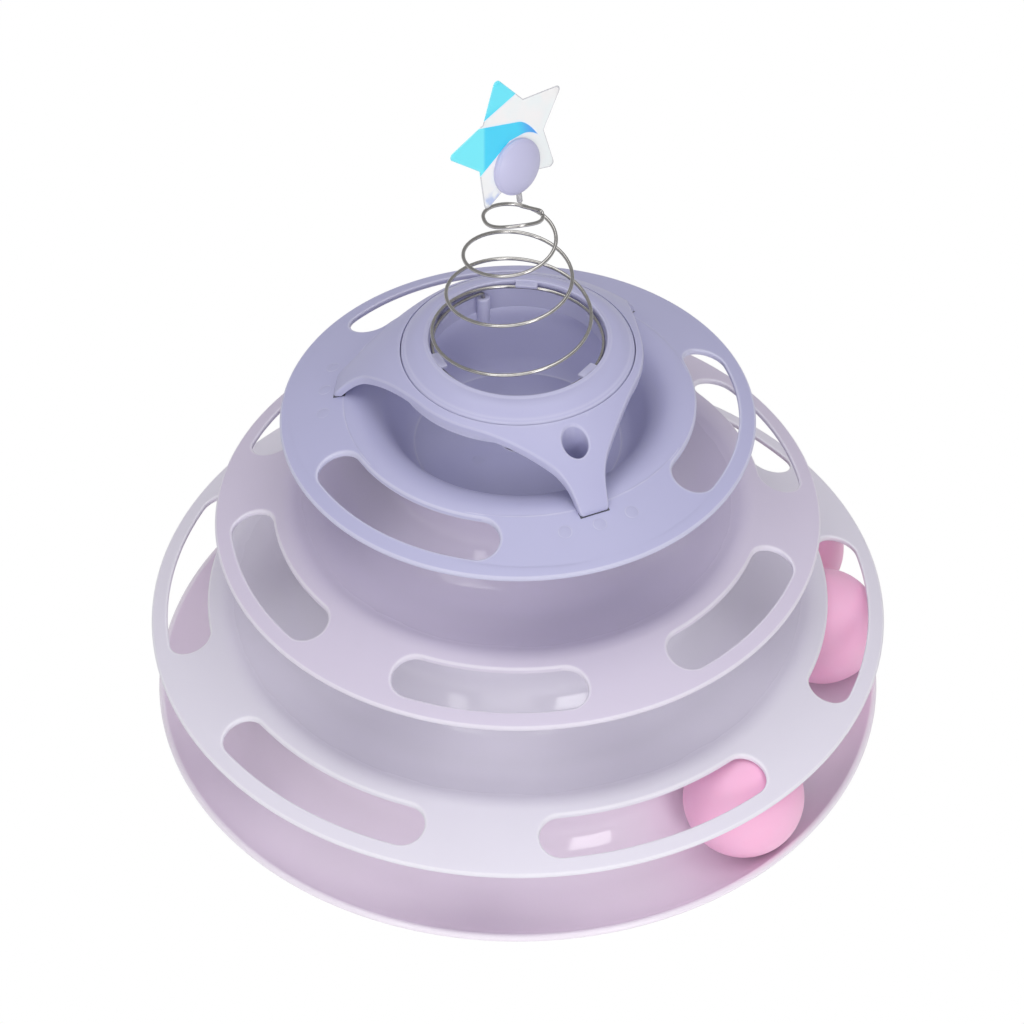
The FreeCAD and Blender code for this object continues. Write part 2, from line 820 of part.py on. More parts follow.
def tripod_cover():
    """The three-legged dome that stands in the top tier and holds the spring."""
    body = new_body("tripod_cover")
    add_wand_boss(body)
    outside = DOME_RADIUS
    inside = outside - size("dome_wall")
    shelf = outside - size("ring_wall") - size("shelf_play")
    shelf_under = shelf - size("shelf_wall")
    seam = SEAM_RADIUS
    shoulder = seam + size("shelf_shoulder")
    well = WELL_RADIUS
    well_out = well + size("well_wall")
    reach = LEG_REACH
    well_foot = on_dome(shelf, well) - size("well_depth")
    heel = foot_heel(inside)
    steps = [
        line_to(well, well_foot),
        line_to(well_out, well_foot),
        line_to(well_out, on_dome(shelf_under, well_out)),
        arc_to(shoulder, on_dome(shelf_under, shoulder), shelf_under, -1),
        line_to(shoulder, on_dome(inside, shoulder)),
        arc_to(heel, on_dome(inside, heel), inside, -1),
        line_to(reach, cone_height(reach) + size("foot_play")),
        line_to(reach, on_dome(outside, reach)),
        arc_to(seam, on_dome(outside, seam), outside, 1),
        line_to(seam, on_dome(shelf, seam)),
        arc_to(well, on_dome(shelf, well), shelf, 1),
    ]
    sketch = new_sketch(body, "cover_profile", "XZ_Plane")
    revolve(body, draw_outline(sketch, steps), "cover_shell")
    cut_leg_gaps(body)
    add_leg_tabs(body)
    add_spring_post(body)
    add_coil_ledges(body)
    cut_wand_bore(body)
    return body


def wand_socket_place():
    angle = Size.of(-HALF_TURN) / size("leg_count")
    return polar(WAND_SOCKET_DISTANCE, angle)


def add_wand_boss(body):
    """The wand socket's boss, cut off inside the thickness of the dome above it."""
    radius = size("wand_bore_radius") + size("wand_socket_wall")
    distance = WAND_SOCKET_DISTANCE
    top = on_dome(DOME_RADIUS, distance)
    foot = top - size("wand_socket_depth")
    outline = new_sketch(body, "wand_boss_outline", height=foot)
    draw_circle(outline, *wand_socket_place(), radius)
    pad(body, outline, "wand_boss", on_dome(DOME_RADIUS, distance - radius) - foot)
    sphere = DOME_RADIUS - size("dome_wall") / 2
    over = size("cut_overrun")
    ceiling = DOME_CENTRE + DOME_RADIUS + over
    steps = [
        line_to(0, DOME_CENTRE + sphere),
        arc_to(sphere * sine(60), DOME_CENTRE + sphere * cosine(60), sphere, -1),
        line_to(sphere + over, DOME_CENTRE + sphere * cosine(60)),
        line_to(sphere + over, ceiling),
        line_to(0, ceiling),
    ]
    sketch = new_sketch(body, "wand_boss_trim_profile", "XZ_Plane")
    revolve(body, draw_outline(sketch, steps), "wand_boss_trim", "Groove")


def cut_wand_bore(body):
    distance = WAND_SOCKET_DISTANCE
    floor = size("wand_socket_depth") - size("wand_socket_floor")
    height = on_dome(DOME_RADIUS, distance) - floor
    outline = new_sketch(body, "wand_bore_outline", height=height)
    draw_circle(outline, *wand_socket_place(), size("wand_bore_radius"))
    pocket_up(body, outline, "wand_bore")


def cut_leg_gaps(body):
    """Cuts the dome away between the legs: straight flares that curve into tapered legs."""
    taper = size("leg_taper")
    flare = size("leg_flare")
    edge = COVER_EDGE
    fillet = size("leg_fillet")
    reach = LEG_REACH
    touch = polar(edge, flare)
    spread = touch[1] - size("foot_half_width") - (reach - touch[0]) * tangent(taper)
    run = spread / (cosine(flare) - tangent(taper) * sine(flare))
    corner = touch[0] + run * sine(flare), touch[1] - run * cosine(flare)
    cut_back = fillet * tangent((90 - flare - taper) / 2)
    side_end = corner[0] + cut_back * cosine(taper), corner[1] - cut_back * sine(taper)
    flare_end = corner[0] - cut_back * sine(flare), corner[1] + cut_back * cosine(flare)
    over = size("cut_overrun")
    beyond = reach + over, size("foot_half_width") - over * tangent(taper)
    far = DOME_RADIUS + over
    half_gap = Size.of(HALF_TURN) / size("leg_count")

    def plan(point, side):
        x = point[0] * cosine(half_gap) + point[1] * sine(half_gap)
        y = point[0] * sine(half_gap) - point[1] * cosine(half_gap)
        return x, side * y

    steps = [
        line_to(far, plan(beyond, -1)[1]),
        line_to(far, plan(beyond, 1)[1]),
        line_to(*plan(beyond, 1)),
        line_to(*plan(side_end, 1)),
        arc_to(*plan(flare_end, 1), fillet, 1),
        line_to(*plan(touch, 1)),
        arc_to(*plan(touch, -1), edge, -1),
        line_to(*plan(flare_end, -1)),
        arc_to(*plan(side_end, -1), fillet, 1),
        line_to(*plan(beyond, -1)),
    ]
    sketch = new_sketch(body, "leg_gap_outline")
    cut = pocket_up(body, draw_outline(sketch, steps), "leg_gap")
    repeat_round(body, cut, "leg_gaps", size("leg_count"))


def add_leg_tabs(body):
    """A hooked tab under each foot, which snaps through the top tier."""
    distance = TAB_DISTANCE
    near = distance - size("tab_wall") / 2
    far = distance + size("tab_wall") / 2
    head = cone_height(distance) + size("tab_root")
    underside = size("wall") / cosine(size("flange_slope"))
    hook = cone_height(LEG_REACH) - underside - size("fit_clearance")
    foot = head - size("tab_depth") - size("tab_root") - underside
    steps = [
        line_to(-near, head),
        line_to(-far, head),
        line_to(-far, hook),
        line_to(-(far + size("tab_hook")), hook),
        line_to(-far, foot),
        line_to(-near, foot),
    ]
    sketch = new_sketch(body, "leg_tab_profile", "XZ_Plane")
    tab = pad(body, draw_outline(sketch, steps), "leg_tab", size("tab_width"))
    tab.SideType = "Symmetric"
    repeat_round(body, tab, "leg_tabs", size("leg_count"))


def post_place():
    """The bore in the post lies under the bend that leads the wire into the coil."""
    coil, lead = size("coil_radius"), size("wire_lead")
    return polar(root(coil * coil + lead * lead), size("post_angle"))


def add_spring_post(body):
    """A post inside the well that takes the bent-down end of the spring."""
    top = COIL_START - size("wire_bend_radius") - size("fit_clearance") / 2
    foot = top - size("post_height")
    outline = new_sketch(body, "spring_post_outline", height=foot)
    draw_circle(outline, *post_place(), size("post_radius"))
    pad(body, outline, "spring_post", size("post_height"))
    end = COIL_START - size("wire_bend_radius") - size("wire_end_length")
    outline = new_sketch(body, "spring_post_bore_outline", height=end - size("fit_clearance"))
    draw_circle(outline, *post_place(), size("post_bore_radius"))
    pocket_up(body, outline, "spring_post_bore")


def turned_box(sketch, near, far, half_width, angle):
    """A rectangle from near to far along a line from the origin at that angle."""
    steps = []
    for along, side in ((near, -1), (far, -1), (far, 1), (near, 1)):
        x = along * cosine(angle) - side * half_width * sine(angle)
        y = along * sine(angle) + side * half_width * cosine(angle)
        steps.append(line_to(x, y))
    return draw_outline(sketch, steps)


def add_coil_ledges(body):
    """Three ledges inside the well that the spring's flat coil lies on."""
    top = COIL_START - size("wire_radius") - size("fit_clearance") / 2
    sketch = new_sketch(body, "coil_ledge_outline", height=top - size("ledge_height"))
    near = WELL_RADIUS - size("ledge_reach")
    far = WELL_RADIUS + size("well_wall") / 2
    turned_box(sketch, near, far, size("ledge_width") / 2, size("ledge_angle"))
    ledge = pad(body, sketch, "coil_ledge", size("ledge_height"))
    repeat_round(body, ledge, "coil_ledges", size("leg_count"))


def spring_retaining_ring():
    """The ring at the top of the dome, whose tabs keep the spring's flat coil down."""
    body = new_body("spring_retaining_ring")
    outside = DOME_RADIUS
    inside = outside - size("ring_wall")
    opening = RING_OPENING
    rim = SEAM_RADIUS - size("seam_gap")
    steps = [
        line_to(opening, on_dome(inside, opening)),
        arc_to(rim, on_dome(inside, rim), inside, -1),
        line_to(rim, on_dome(outside, rim)),
        arc_to(opening, on_dome(outside, opening), outside, 1),
    ]
    sketch = new_sketch(body, "ring_profile", "XZ_Plane")
    revolve(body, draw_outline(sketch, steps), "ring_shell")
    height = RING_TOP - size("ring_tab_height") - size("ring_tab_drop")
    sketch = new_sketch(body, "ring_tab_outline", height=height)
    near = opening - size("ring_tab_reach")
    far = opening + size("ring_tab_root")
    turned_box(sketch, near, far, size("ring_tab_width") / 2, size("ring_tab_angle"))
    tab = pad(body, sketch, "ring_tab", size("ring_tab_height"))
    repeat_round(body, tab, "ring_tabs", size("leg_count"))
    return body


# ---------------------------------------------------------------- spring


def cell(alias):
    """The number that the spreadsheet holds under that name."""
    return float(getattr(SHEET, alias))


def ramp(value, start, end):
    """0 before start, 1 after end and a straight line between."""
    return min(max((value - start) / (end - start), 0.0), 1.0)


def spring_point(turn):
    """The wire's centre line after that many turns: a flat coil, a cone and a closing coil."""
    flat = cell("coil_turns")
    cone_start = flat + cell("straight_turns")
    cone_end = cone_start + cell("cone_turns")
    closing_end = cone_end + cell("closing_turns")
    cone = ramp(turn, cone_start, cone_end)
    closing = ramp(turn, cone_end, closing_end)
    radius = cell("coil_radius") + cone * (cell("cone_top_radius") - cell("coil_radius"))
    radius += closing * (cell("closing_radius") - cell("cone_top_radius"))
    rise = cell("coil_rise") * ramp(turn, 0.0, flat)
    rise += cell("spring_pitch") * (min(max(turn, flat), cone_end) - flat)
    lean = rise / (cell("spring_pitch") * (cone_end - flat))
    rise += cell("closing_rise") * closing
    lead_turn = math.atan2(cell("wire_lead"), cell("coil_radius"))
    angle = math.radians(cell("post_angle")) + lead_turn + 2 * math.pi * turn
    return Vector(
        radius * math.cos(angle) + lean * cell("spring_lean_x"),
        radius * math.sin(angle) + lean * cell("spring_lean_y"),
        COIL_START.value + rise,
    )


def spring_heading(turn, last_turn, window=0.06):
    """The direction of the centre line, averaged over a short stretch of the turn."""
    before = spring_point(max(turn - window, 0.0))
    after = spring_point(min(turn + window, last_turn))
    if 0.0 < turn < last_turn:
        return (after - before).normalize()
    here = spring_point(turn)
    chord = after - before
    radial = Vector(here.x, here.y, 0)
    if turn > 0.0:
        radial -= Vector(cell("spring_lean_x"), cell("spring_lean_y"), 0)
    radial.normalize()
    return (chord - radial * chord.dot(radial)).normalize()


def arc_through(first, corner, last):
    """The arc that leaves first and reaches last along lines through the corner."""
    middle = (first + last) * 0.5
    half_chord = (last - first).Length / 2
    height = (corner - middle).Length
    if height < 1e-6:
        return Part.makeLine(first, last)
    bend = math.atan2(height, half_chord)
    top = middle + (corner - middle) * (math.tan(bend / 2) / math.tan(bend))
    return Part.Arc(first, top, last).toShape()


def biarc(first, first_heading, last, last_heading):
    """Two arcs that join two points and agree with the heading at each."""
    chord = last - first
    both = first_heading + last_heading
    spread = 2 * (1 - first_heading.dot(last_heading))
    along = chord.dot(both)
    if spread < 1e-9:
        reach = chord.dot(chord) / (2 * along)
    else:
        reach = (math.sqrt(along * along + spread * chord.dot(chord)) - along) / spread
    start_corner = first + first_heading * reach
    end_corner = last - last_heading * reach
    joint = (start_corner + end_corner) * 0.5
    return [arc_through(first, start_corner, joint), arc_through(joint, end_corner, last)]


def rounded_run(points, radius):
    """Straight runs between the points with an arc of that radius at each inner one."""
    edges = []
    start = points[0]
    for before, corner, after in zip(points, points[1:], points[2:]):
        inward = (before - corner).normalize()
        outward = (after - corner).normalize()
        turn = math.pi - inward.getAngle(outward)
        reach = radius * math.tan(turn / 2)
        entry, leave = corner + inward * reach, corner + outward * reach
        edges.append(Part.makeLine(start, entry))
        edges.append(arc_through(entry, corner, leave))
        start = leave
    edges.append(Part.makeLine(start, points[-1]))
    return edges


def ornament_up():
    """The direction from the foot of the ornament to its top."""
    turn = math.radians(cell("ornament_turn"))
    tilt = math.radians(cell("ornament_tilt"))
    back = math.sin(tilt)
    return Vector(-math.sin(turn) * back, math.cos(turn) * back, math.cos(tilt))


def spring_path():
    """The centre line from the end in the post to the end in the ferrule."""
    last_turn = cell("coil_turns") + cell("straight_turns")
    last_turn += cell("cone_turns") + cell("closing_turns")
    count = math.ceil(last_turn * 4)
    turns = [last_turn * index / count for index in range(count + 1)]
    points = [spring_point(turn) for turn in turns]
    headings = [spring_heading(turn, last_turn) for turn in turns]
    bend = cell("wire_bend_radius")
    corner = points[0] - headings[0] * cell("wire_lead")
    end = corner - Vector(0, 0, bend + cell("wire_end_length"))
    edges = rounded_run([end, corner, points[0]], bend)
    for index in range(count):
        pair = (points[index], headings[index], points[index + 1], headings[index + 1])
        edges.extend(biarc(*pair))
    stem = Vector(cell("stem_x"), cell("stem_y"), STEM_BASE.value)
    lead = points[-1] + headings[-1] * cell("closing_lead")
    tip = stem + ornament_up() * cell("stem_length")
    edges.extend(rounded_run([points[-1], lead, stem, tip], bend))
    return edges


def least_gap(edges, diameter):
    """The least clear distance between parts of the wire more than a third of a turn apart."""
    points = []
    places = []
    travelled = 0.0
    for edge in edges:
        for index in range(6):
            fraction = index / 6
            span = edge.LastParameter - edge.FirstParameter
            points.append(edge.valueAt(edge.FirstParameter + fraction * span))
            places.append(travelled + fraction * edge.Length)
        travelled += edge.Length
    reach = 10 * diameter
    pairs = (
        points[first].distanceToPoint(points[second])
        for first in range(len(points))
        for second in range(first + 1, len(points))
        if places[second] - places[first] > reach
    )
    return min(pairs) - diameter


def spring():
    """The conical spring as one unbroken tube of round wire."""
    radius = cell("wire_radius")
    edges = spring_path()
    path = Part.Wire(edges)
    start = edges[0].valueAt(edges[0].FirstParameter)
    circle = Part.Wire(Part.Circle(start, Vector(0, 0, 1), radius).toShape())
    tube = Part.BRepOffsetAPI.MakePipeShell(path)
    tube.add(circle)
    tube.build()
    tube.makeSolid()
    feature = DOCUMENT.addObject("Part::Feature", "spring")
    feature.Label = feature.Name
    feature.Shape = tube.shape()
    feature.Placement = FreeCAD.Placement()
    print(f"spring: least gap to itself {least_gap(edges, 2 * radius):.2f} mm")
    return feature


# ---------------------------------------------------------------- ornament


def stand_on_stem(body, along):
    """Turns and tilts a body, with its origin at a distance along the stem's line."""
    turn, tilt = size("ornament_turn"), size("ornament_tilt")
    x = size("stem_x") - along * sine(turn) * sine(tilt)
    y = size("stem_y") + along * cosine(turn) * sine(tilt)
    z = STEM_BASE + along * cosine(tilt)
    place = f"create(<<vector>>; {x.text}; {y.text}; {z.text})"
    rotation = f"create(<<rotation>>; {turn.text}; 0; 90 - {tilt.text})"
    body.setExpression("Placement", f"create(<<placement>>; {place}; {rotation})")


def spring_ferrule():
    """The small headed tube on the end of the wire, round which the ornament turns."""
    body = new_body("spring_ferrule")
    bore = size("ferrule_bore_radius")
    radius = size("ferrule_radius")
    head = size("ferrule_head_radius")
    start = size("ferrule_start")
    end = start + size("ferrule_length")
    shoulder = end - size("ferrule_head_length")
    steps = [
        line_to(bore, start),
        line_to(radius, start),
        line_to(radius, shoulder),
        line_to(head, shoulder),
        line_to(head, end),
        line_to(bore, end),
    ]
    sketch = new_sketch(body, "ferrule_profile", "XY_Plane")
    revolve(body, draw_outline(sketch, steps), "ferrule_tube")
    stand_on_stem(body, Size.of(0))
    return body


def shell_profile(sketch, side):
    """Half of a domed disc, on the front (1) or the back (-1) of the star."""
    radius = size("shell_radius")
    dome = size("shell_dome")
    face = size("star_thickness") / 2
    rim = size("shell_side")
    arc = (radius * radius + dome * dome) / (2 * dome)
    steps = [
        line_to(radius, side * face),
        line_to(radius, side * rim),
        arc_to(0, side * (rim + dome), arc, side),
        line_to(0, side * face),
    ]
    return draw_outline(sketch, steps)


def cut_ferrule_seat(body):
    """The headed hole that the ferrule turns in, half in each shell."""
    play = size("ferrule_play")
    bore = size("ferrule_radius") + play
    head = size("ferrule_head_radius") + play
    end = size("ferrule_start") + size("ferrule_length") - size("ornament_rise")
    shoulder = end - size("ferrule_head_length") - play
    mouth = -(size("shell_radius") + size("shell_side"))
    steps = [
        line_to(0, mouth),
        line_to(bore, mouth),
        line_to(bore, shoulder),
        line_to(head, shoulder),
        line_to(head, end + play),
        line_to(0, end + play),
    ]
    sketch = new_sketch(body, f"{body.Name}_seat_profile", "XY_Plane")
    revolve(body, draw_outline(sketch, steps), f"{body.Name}_seat", "Groove")


def ornament_front_shell():
    body = new_body("ornament_front_shell")
    sketch = shell_profile(new_sketch(body, "front_shell_profile", "XZ_Plane"), 1)
    revolve(body, sketch, "front_shell_dome")
    hole = new_sketch(body, "peg_hole_outline", height=size("star_thickness") / 2)
    draw_circle(hole, 0, 0, size("peg_radius") + size("peg_play"))
    pocket_up(body, hole, "peg_hole", size("peg_length"))
    cut_ferrule_seat(body)
    stand_on_stem(body, size("ornament_rise"))
    return body


def ornament_back_shell():
    """The back of the disc, with the peg that passes through the star."""
    body = new_body("ornament_back_shell")
    sketch = shell_profile(new_sketch(body, "back_shell_profile", "XZ_Plane"), -1)
    revolve(body, sketch, "back_shell_dome")
    foot = size("star_thickness") / 2 + size("peg_length") / 2
    outline = draw_circle(new_sketch(body, "peg_outline", height=-foot), 0, 0, size("peg_radius"))
    top = size("star_thickness") / 2 + size("peg_length") - size("peg_play")
    pad(body, outline, "peg", foot + top)
    cut_ferrule_seat(body)
    stand_on_stem(body, size("ornament_rise"))
    return body


def star():
    """The thin star between the shells: five points, each with a small rounded tip."""
    body = new_body("star")
    tip = size("star_tip_radius")
    notch = size("star_notch_radius")
    rounding = size("star_tip_rounding")
    share = Size.of(HALF_TURN) / size("star_tip_count")
    along = tip - notch * cosine(share)
    across = notch * sine(share)
    edge = root(along * along + across * across)
    cut_back = rounding * along / across
    near = tip - cut_back * along / edge
    side = cut_back * across / edge
    steps = []
    for index in range(int(cell("star_tip_count"))):
        angle = 90 + size("star_roll") + 2 * index * share
        for sign in (-1, 1):
            x = near * cosine(angle) - sign * side * sine(angle) + size("star_side")
            y = near * sine(angle) + sign * side * cosine(angle) + size("star_rise")
            steps.append(line_to(x, y) if sign < 0 else arc_to(x, y, rounding, 1))
        notch_x, notch_y = polar(notch, angle + share)
        steps.append(line_to(notch_x + size("star_side"), notch_y + size("star_rise")))
    sketch = new_sketch(body, "star_outline", height=size("star_thickness") / -2)
    draw_outline(sketch, steps)
    draw_circle(sketch, 0, 0, size("peg_radius") + size("peg_play"))
    pad(body, sketch, "star_sheet", size("star_thickness"))
    stand_on_stem(body, size("ornament_rise"))
    return body


# ---------------------------------------------------------------- build, check and export


def check(nodes):
    """Stops on a feature in error or on a node that isn't one sound solid."""
    for item in DOCUMENT.Objects:
        if {"Invalid", "Error"} & set(item.State):
            raise RuntimeError(f"{item.Name} is in state {item.State}")
    for node in nodes:
        shape = node.Shape
        if shape.isNull() or not shape.isValid() or len(shape.Solids) != 1:
            raise RuntimeError(f"{node.Name} isn't one sound solid")
        box = shape.BoundBox
        print(f"{node.Label}: {shape.Volume:.0f} mm3, z {box.ZMin:.2f} to {box.ZMax:.2f}")


def main():
    fill_sheet()
    nodes = [base_tray(), *foot_pads(), lower_tier(), middle_tier(), top_tier()]
    nodes += [tripod_cover(), spring_retaining_ring(), spring(), spring_ferrule()]
    nodes += [ornament_front_shell(), ornament_back_shell(), star(), *balls()]
    DOCUMENT.recompute()
    check(nodes)
    os.makedirs("parts", exist_ok=True)
    for node in nodes:
        node.Shape.exportStep(f"parts/{node.Label}.step")


main()
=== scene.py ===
import logging
import math
from collections.abc import Iterable
from dataclasses import dataclass
from enum import Enum

import bmesh
import bpy
import numpy as np
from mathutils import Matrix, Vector


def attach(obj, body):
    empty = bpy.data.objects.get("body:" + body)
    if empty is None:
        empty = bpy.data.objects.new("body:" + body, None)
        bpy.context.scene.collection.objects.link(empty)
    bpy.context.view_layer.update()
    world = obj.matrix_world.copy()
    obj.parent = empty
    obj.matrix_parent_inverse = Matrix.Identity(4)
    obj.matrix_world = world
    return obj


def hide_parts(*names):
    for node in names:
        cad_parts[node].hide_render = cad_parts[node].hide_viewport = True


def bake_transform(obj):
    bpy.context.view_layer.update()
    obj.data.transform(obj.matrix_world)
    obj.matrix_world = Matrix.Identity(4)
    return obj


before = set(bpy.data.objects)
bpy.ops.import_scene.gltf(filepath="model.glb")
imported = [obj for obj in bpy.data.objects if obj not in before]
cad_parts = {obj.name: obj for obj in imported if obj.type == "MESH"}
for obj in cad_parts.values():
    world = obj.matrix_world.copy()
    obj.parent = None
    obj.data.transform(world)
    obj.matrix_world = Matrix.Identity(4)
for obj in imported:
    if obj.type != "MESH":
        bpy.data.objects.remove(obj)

# A tower of ball tracks for a cat, dressed over its CAD frame. Sizes are in millimetres and
# degrees, and become metres where a mesh is made. Every surface is worked out as whole arrays.

logging.basicConfig(level=logging.INFO, format="%(levelname)s %(message)s")
LOG = logging.getLogger("track_toy")

Array = np.ndarray
Number = Array | float
Triple = tuple[float, float, float]
Piece = bpy.types.Object
Socket = bpy.types.NodeSocket
MM = 0.001
FULL = 2 * math.pi
ROUND_COUNT = 360


# ---------------------------------------------------------------- arrays of points


def pairs(first: Number, second: Number) -> Array:
    """Two arrays side by side, as plan points or as points of radius and height."""
    return np.stack(np.broadcast_arrays(first, second), axis=-1)


def polar(radius: Number, angle: Number) -> Array:
    """Plan points at a radius and an angle in radians from +X."""
    return pairs(radius * np.cos(angle), radius * np.sin(angle))


def raised(plan: Array, height: Number) -> Array:
    """Plan points with their heights, which are spread over them."""
    return np.concatenate([plan, np.broadcast_to(height, plan.shape[:-1])[..., None]], axis=-1)


def spun(points: Array, turn: float) -> Array:
    """Points turned about Z by an angle in degrees: x cos - y sin, x sin + y cos and z."""
    ahead, aside = polar(1.0, math.radians(turn) + np.array([0.0, math.pi / 2]))
    return np.concatenate([points[..., :1] * ahead + points[..., 1:2] * aside, points[..., 2:]], -1)


def arc(centre: tuple[float, float], radius: float, start: float, end: float, steps: int) -> Array:
    """Points along an arc in a plane, between two angles in degrees."""
    return np.array(centre) + polar(radius, np.radians(np.linspace(start, end, steps + 1)))


def between(first: Iterable, last: Iterable, spans: int) -> Array:
    """Even steps from one point or row of points to another, both of them included."""
    share = np.linspace(0.0, 1.0, spans + 1).reshape(-1, *[1] * np.ndim(last))
    return np.array(first) * (1 - share) + np.array(last) * share


def edge_rounding(radius: float, steps: int = 4) -> tuple[Array, Array]:
    """A round edge's set-backs, radius (1 - sin a), and drops, radius (1 - cos a), a from 0 to 90."""
    angle = np.linspace(0.0, math.pi / 2, steps + 1)
    return radius * (1 - np.sin(angle)), radius * (1 - np.cos(angle))


def opened(before: Array, corner: Array, after: Array) -> tuple[Array, Array, float]:
    """The unit vectors from a corner to the points on either side, and half their angle."""
    entry, leave = ((end - corner) / np.linalg.norm(end - corner) for end in (before, after))
    return entry, leave, math.acos(float(np.clip(entry @ leave, -1.0, 1.0))) / 2


@dataclass(frozen=True)
class Patch:
    """Points in millimetres and the four-sided faces between them."""

    points: Array
    quads: Array

    def at(self, x: float, y: float, z: float = 0.0) -> "Patch":
        """The patch shifted."""
        return Patch(self.points + np.array([x, y, z]), self.quads)

    def around(self, turns: Iterable[float]) -> "Patch":
        """Copies of the patch, turned about Z by angles in degrees."""
        return joined([Patch(spun(self.points, turn), self.quads) for turn in turns])


def joined(patches: list[Patch]) -> Patch:
    """Several patches in one."""
    starts = np.cumsum([0, *(len(patch.points) for patch in patches)])
    return Patch(np.concatenate([patch.points for patch in patches]),
                 np.concatenate([patch.quads + start for patch, start in zip(patches, starts)]))


def lattice(points: Array, closed_rows: bool = False, closed_columns: bool = True,
            keep: Array | None = None) -> Patch:
    """Joins a grid of points into four-sided faces.

    Args:
        points: Rows by columns by three.
        closed_rows: The last row joins the first.
        closed_columns: The last column joins the first.
        keep: Flags, rows by columns. A face that starts at a flag that is off is left out.

    Returns:
        The patch.
    """
    index = np.arange(points[..., 0].size).reshape(points.shape[:2])
    index = np.pad(index, ((0, int(closed_rows)), (0, int(closed_columns))), mode="wrap")
    quads = np.stack([index[:-1, :-1], index[:-1, 1:], index[1:, 1:], index[1:, :-1]], axis=-1)
    if keep is not None:
        quads = quads[keep[: quads.shape[0], : quads.shape[1]]]
    return Patch(points.reshape(-1, 3), quads.reshape(-1, 4))


def revolved(profile: Array, count: int = ROUND_COUNT, closed: bool = False) -> Patch:
    """Turns a profile of radius and height round Z: x = r cos a, y = r sin a, z = height."""
    plan = polar(profile[:, :1], FULL * np.arange(count) / count)
    return lattice(raised(plan, profile[:, 1:]), closed)


def block(half_x: float, half_y: float, foot: float, head: float, edge: float, corner: float) -> Patch:
    """An upright block with round corners and softened upper and lower edges.

    Args:
        half_x: Half its length.
        half_y: Half its width.
        foot: Height of its underside.
        head: Height of its top.
        edge: Rounding of the upper and lower edges.
        corner: Corner radius in plan, more than edge.

    Returns:
        The closed patch.
    """
    back, drop = edge_rounding(edge, 3)
    radii = corner - np.concatenate([back, back[::-1]])
    angle = (np.arange(4)[:, None] + np.linspace(0.0, 1.0, 5)) * math.pi / 2
    centres = np.array([[1, 1], [-1, 1], [-1, -1], [1, -1]]) * (half_x - corner, half_y - corner)
    loops = (centres[:, None] + polar(radii[:, None, None], angle)).reshape(len(radii), -1, 2)
    rows = np.concatenate([loops[:1] * 0, loops, loops[:1] * 0])
    return lattice(raised(rows, np.concatenate([[head], head - drop, foot + drop[::-1], [foot]])[:, None]))


# ---------------------------------------------------------------- objects


def linked(name: str, data: bpy.types.ID) -> Piece:
    """Makes an object and links it to the scene.

    Args:
        name: Its name.
        data: Its mesh, light or camera.

    Returns:
        The object.
    """
    made = bpy.data.objects.new(name, data)
    bpy.context.scene.collection.objects.link(made)
    return made


def aimed(name: str, data: bpy.types.ID, place: Vector, aim: Vector) -> Piece:
    """Makes a light or camera that faces a point.

    Args:
        name: Its name.
        data: The light or camera.
        place: Where it stands, in metres.
        aim: The point, in metres.

    Returns:
        The object.
    """
    made = linked(name, data)
    made.location = place
    made.rotation_euler = (aim - place).to_track_quat("-Z", "Y").to_euler()
    return made


def read(items: bpy.types.bpy_prop_collection, key: str, width: int = 1, kind: type = float) -> Array:
    """Reads one property of all of a mesh's items.

    Args:
        items: The items.
        key: The property.
        width: Its numbers for each item.
        kind: Their type.

    Returns:
        Rows of numbers, or single numbers where the width is 1.
    """
    values = np.empty(len(items) * width, dtype=kind)
    items.foreach_get(key, values)
    return values.reshape(-1, width) if width > 1 else values


def mark_edges(mesh: bpy.types.Mesh) -> None:
    """Writes an attribute that is 1 on tightly rounded edges and 0 on broad faces.

    Args:
        mesh: The mesh. Each corner gives the cosine between its face and the smooth normal.
    """
    corner = read(mesh.loops, "vertex_index", 1, np.int64)
    sides = read(mesh.polygons, "loop_total", 1, np.int64)
    faces = np.repeat(read(mesh.polygons, "normal", 3), sides, axis=0)
    least = np.ones(len(mesh.vertices))
    cosine = np.einsum("ij,ij->i", faces, read(mesh.vertices, "normal", 3)[corner])
    np.minimum.at(least, corner, cosine)
    # This edge attribute is the mask of the plastics' painted edge highlight.
    edge = mesh.attributes.new("edge", "FLOAT", "POINT")
    edge.data.foreach_set("value", np.clip((1 - least - 0.004) / 0.002, 0.0, 1.0))


def mesh_object(name: str, patch: Patch, sharp: float = 42.0) -> Piece:
    """Makes a closed, outward-facing and smooth-shaded mesh from a patch.

    Args:
        name: The piece's name.
        patch: Its points in millimetres and faces.
        sharp: Edges that turn by more than this angle stay sharp.

    Returns:
        The object, linked to the scene.
    """
    mesh = bpy.data.meshes.new(name)
    mesh.from_pydata((patch.points * MM).tolist(), [], patch.quads.tolist())
    sculpt = bmesh.new()
    sculpt.from_mesh(mesh)
    bmesh.ops.remove_doubles(sculpt, verts=sculpt.verts, dist=2e-6)
    bmesh.ops.recalc_face_normals(sculpt, faces=sculpt.faces)
    sculpt.to_mesh(mesh)
    sculpt.free()
    mesh.polygons.foreach_set("use_smooth", [True] * len(mesh.polygons))
    mesh.set_sharp_from_angle(angle=math.radians(sharp))
    mark_edges(mesh)
    LOG.info("%s: %d faces", name, len(mesh.polygons))
    return linked(name, mesh)


# ---------------------------------------------------------------- finishes


class Slot(Enum):
    """The record's material slots."""

    BASE = "base_lilac"
    RUBBER = "rubber_grey"
    ICE = "ice_white"
    MAUVE = "mauve"
    LAVENDER = "lavender"
    STEEL = "steel_wire"
    FERRULE = "ferrule_clear"
    FILM = "film_cyan"
    BALL = "ball_pink"


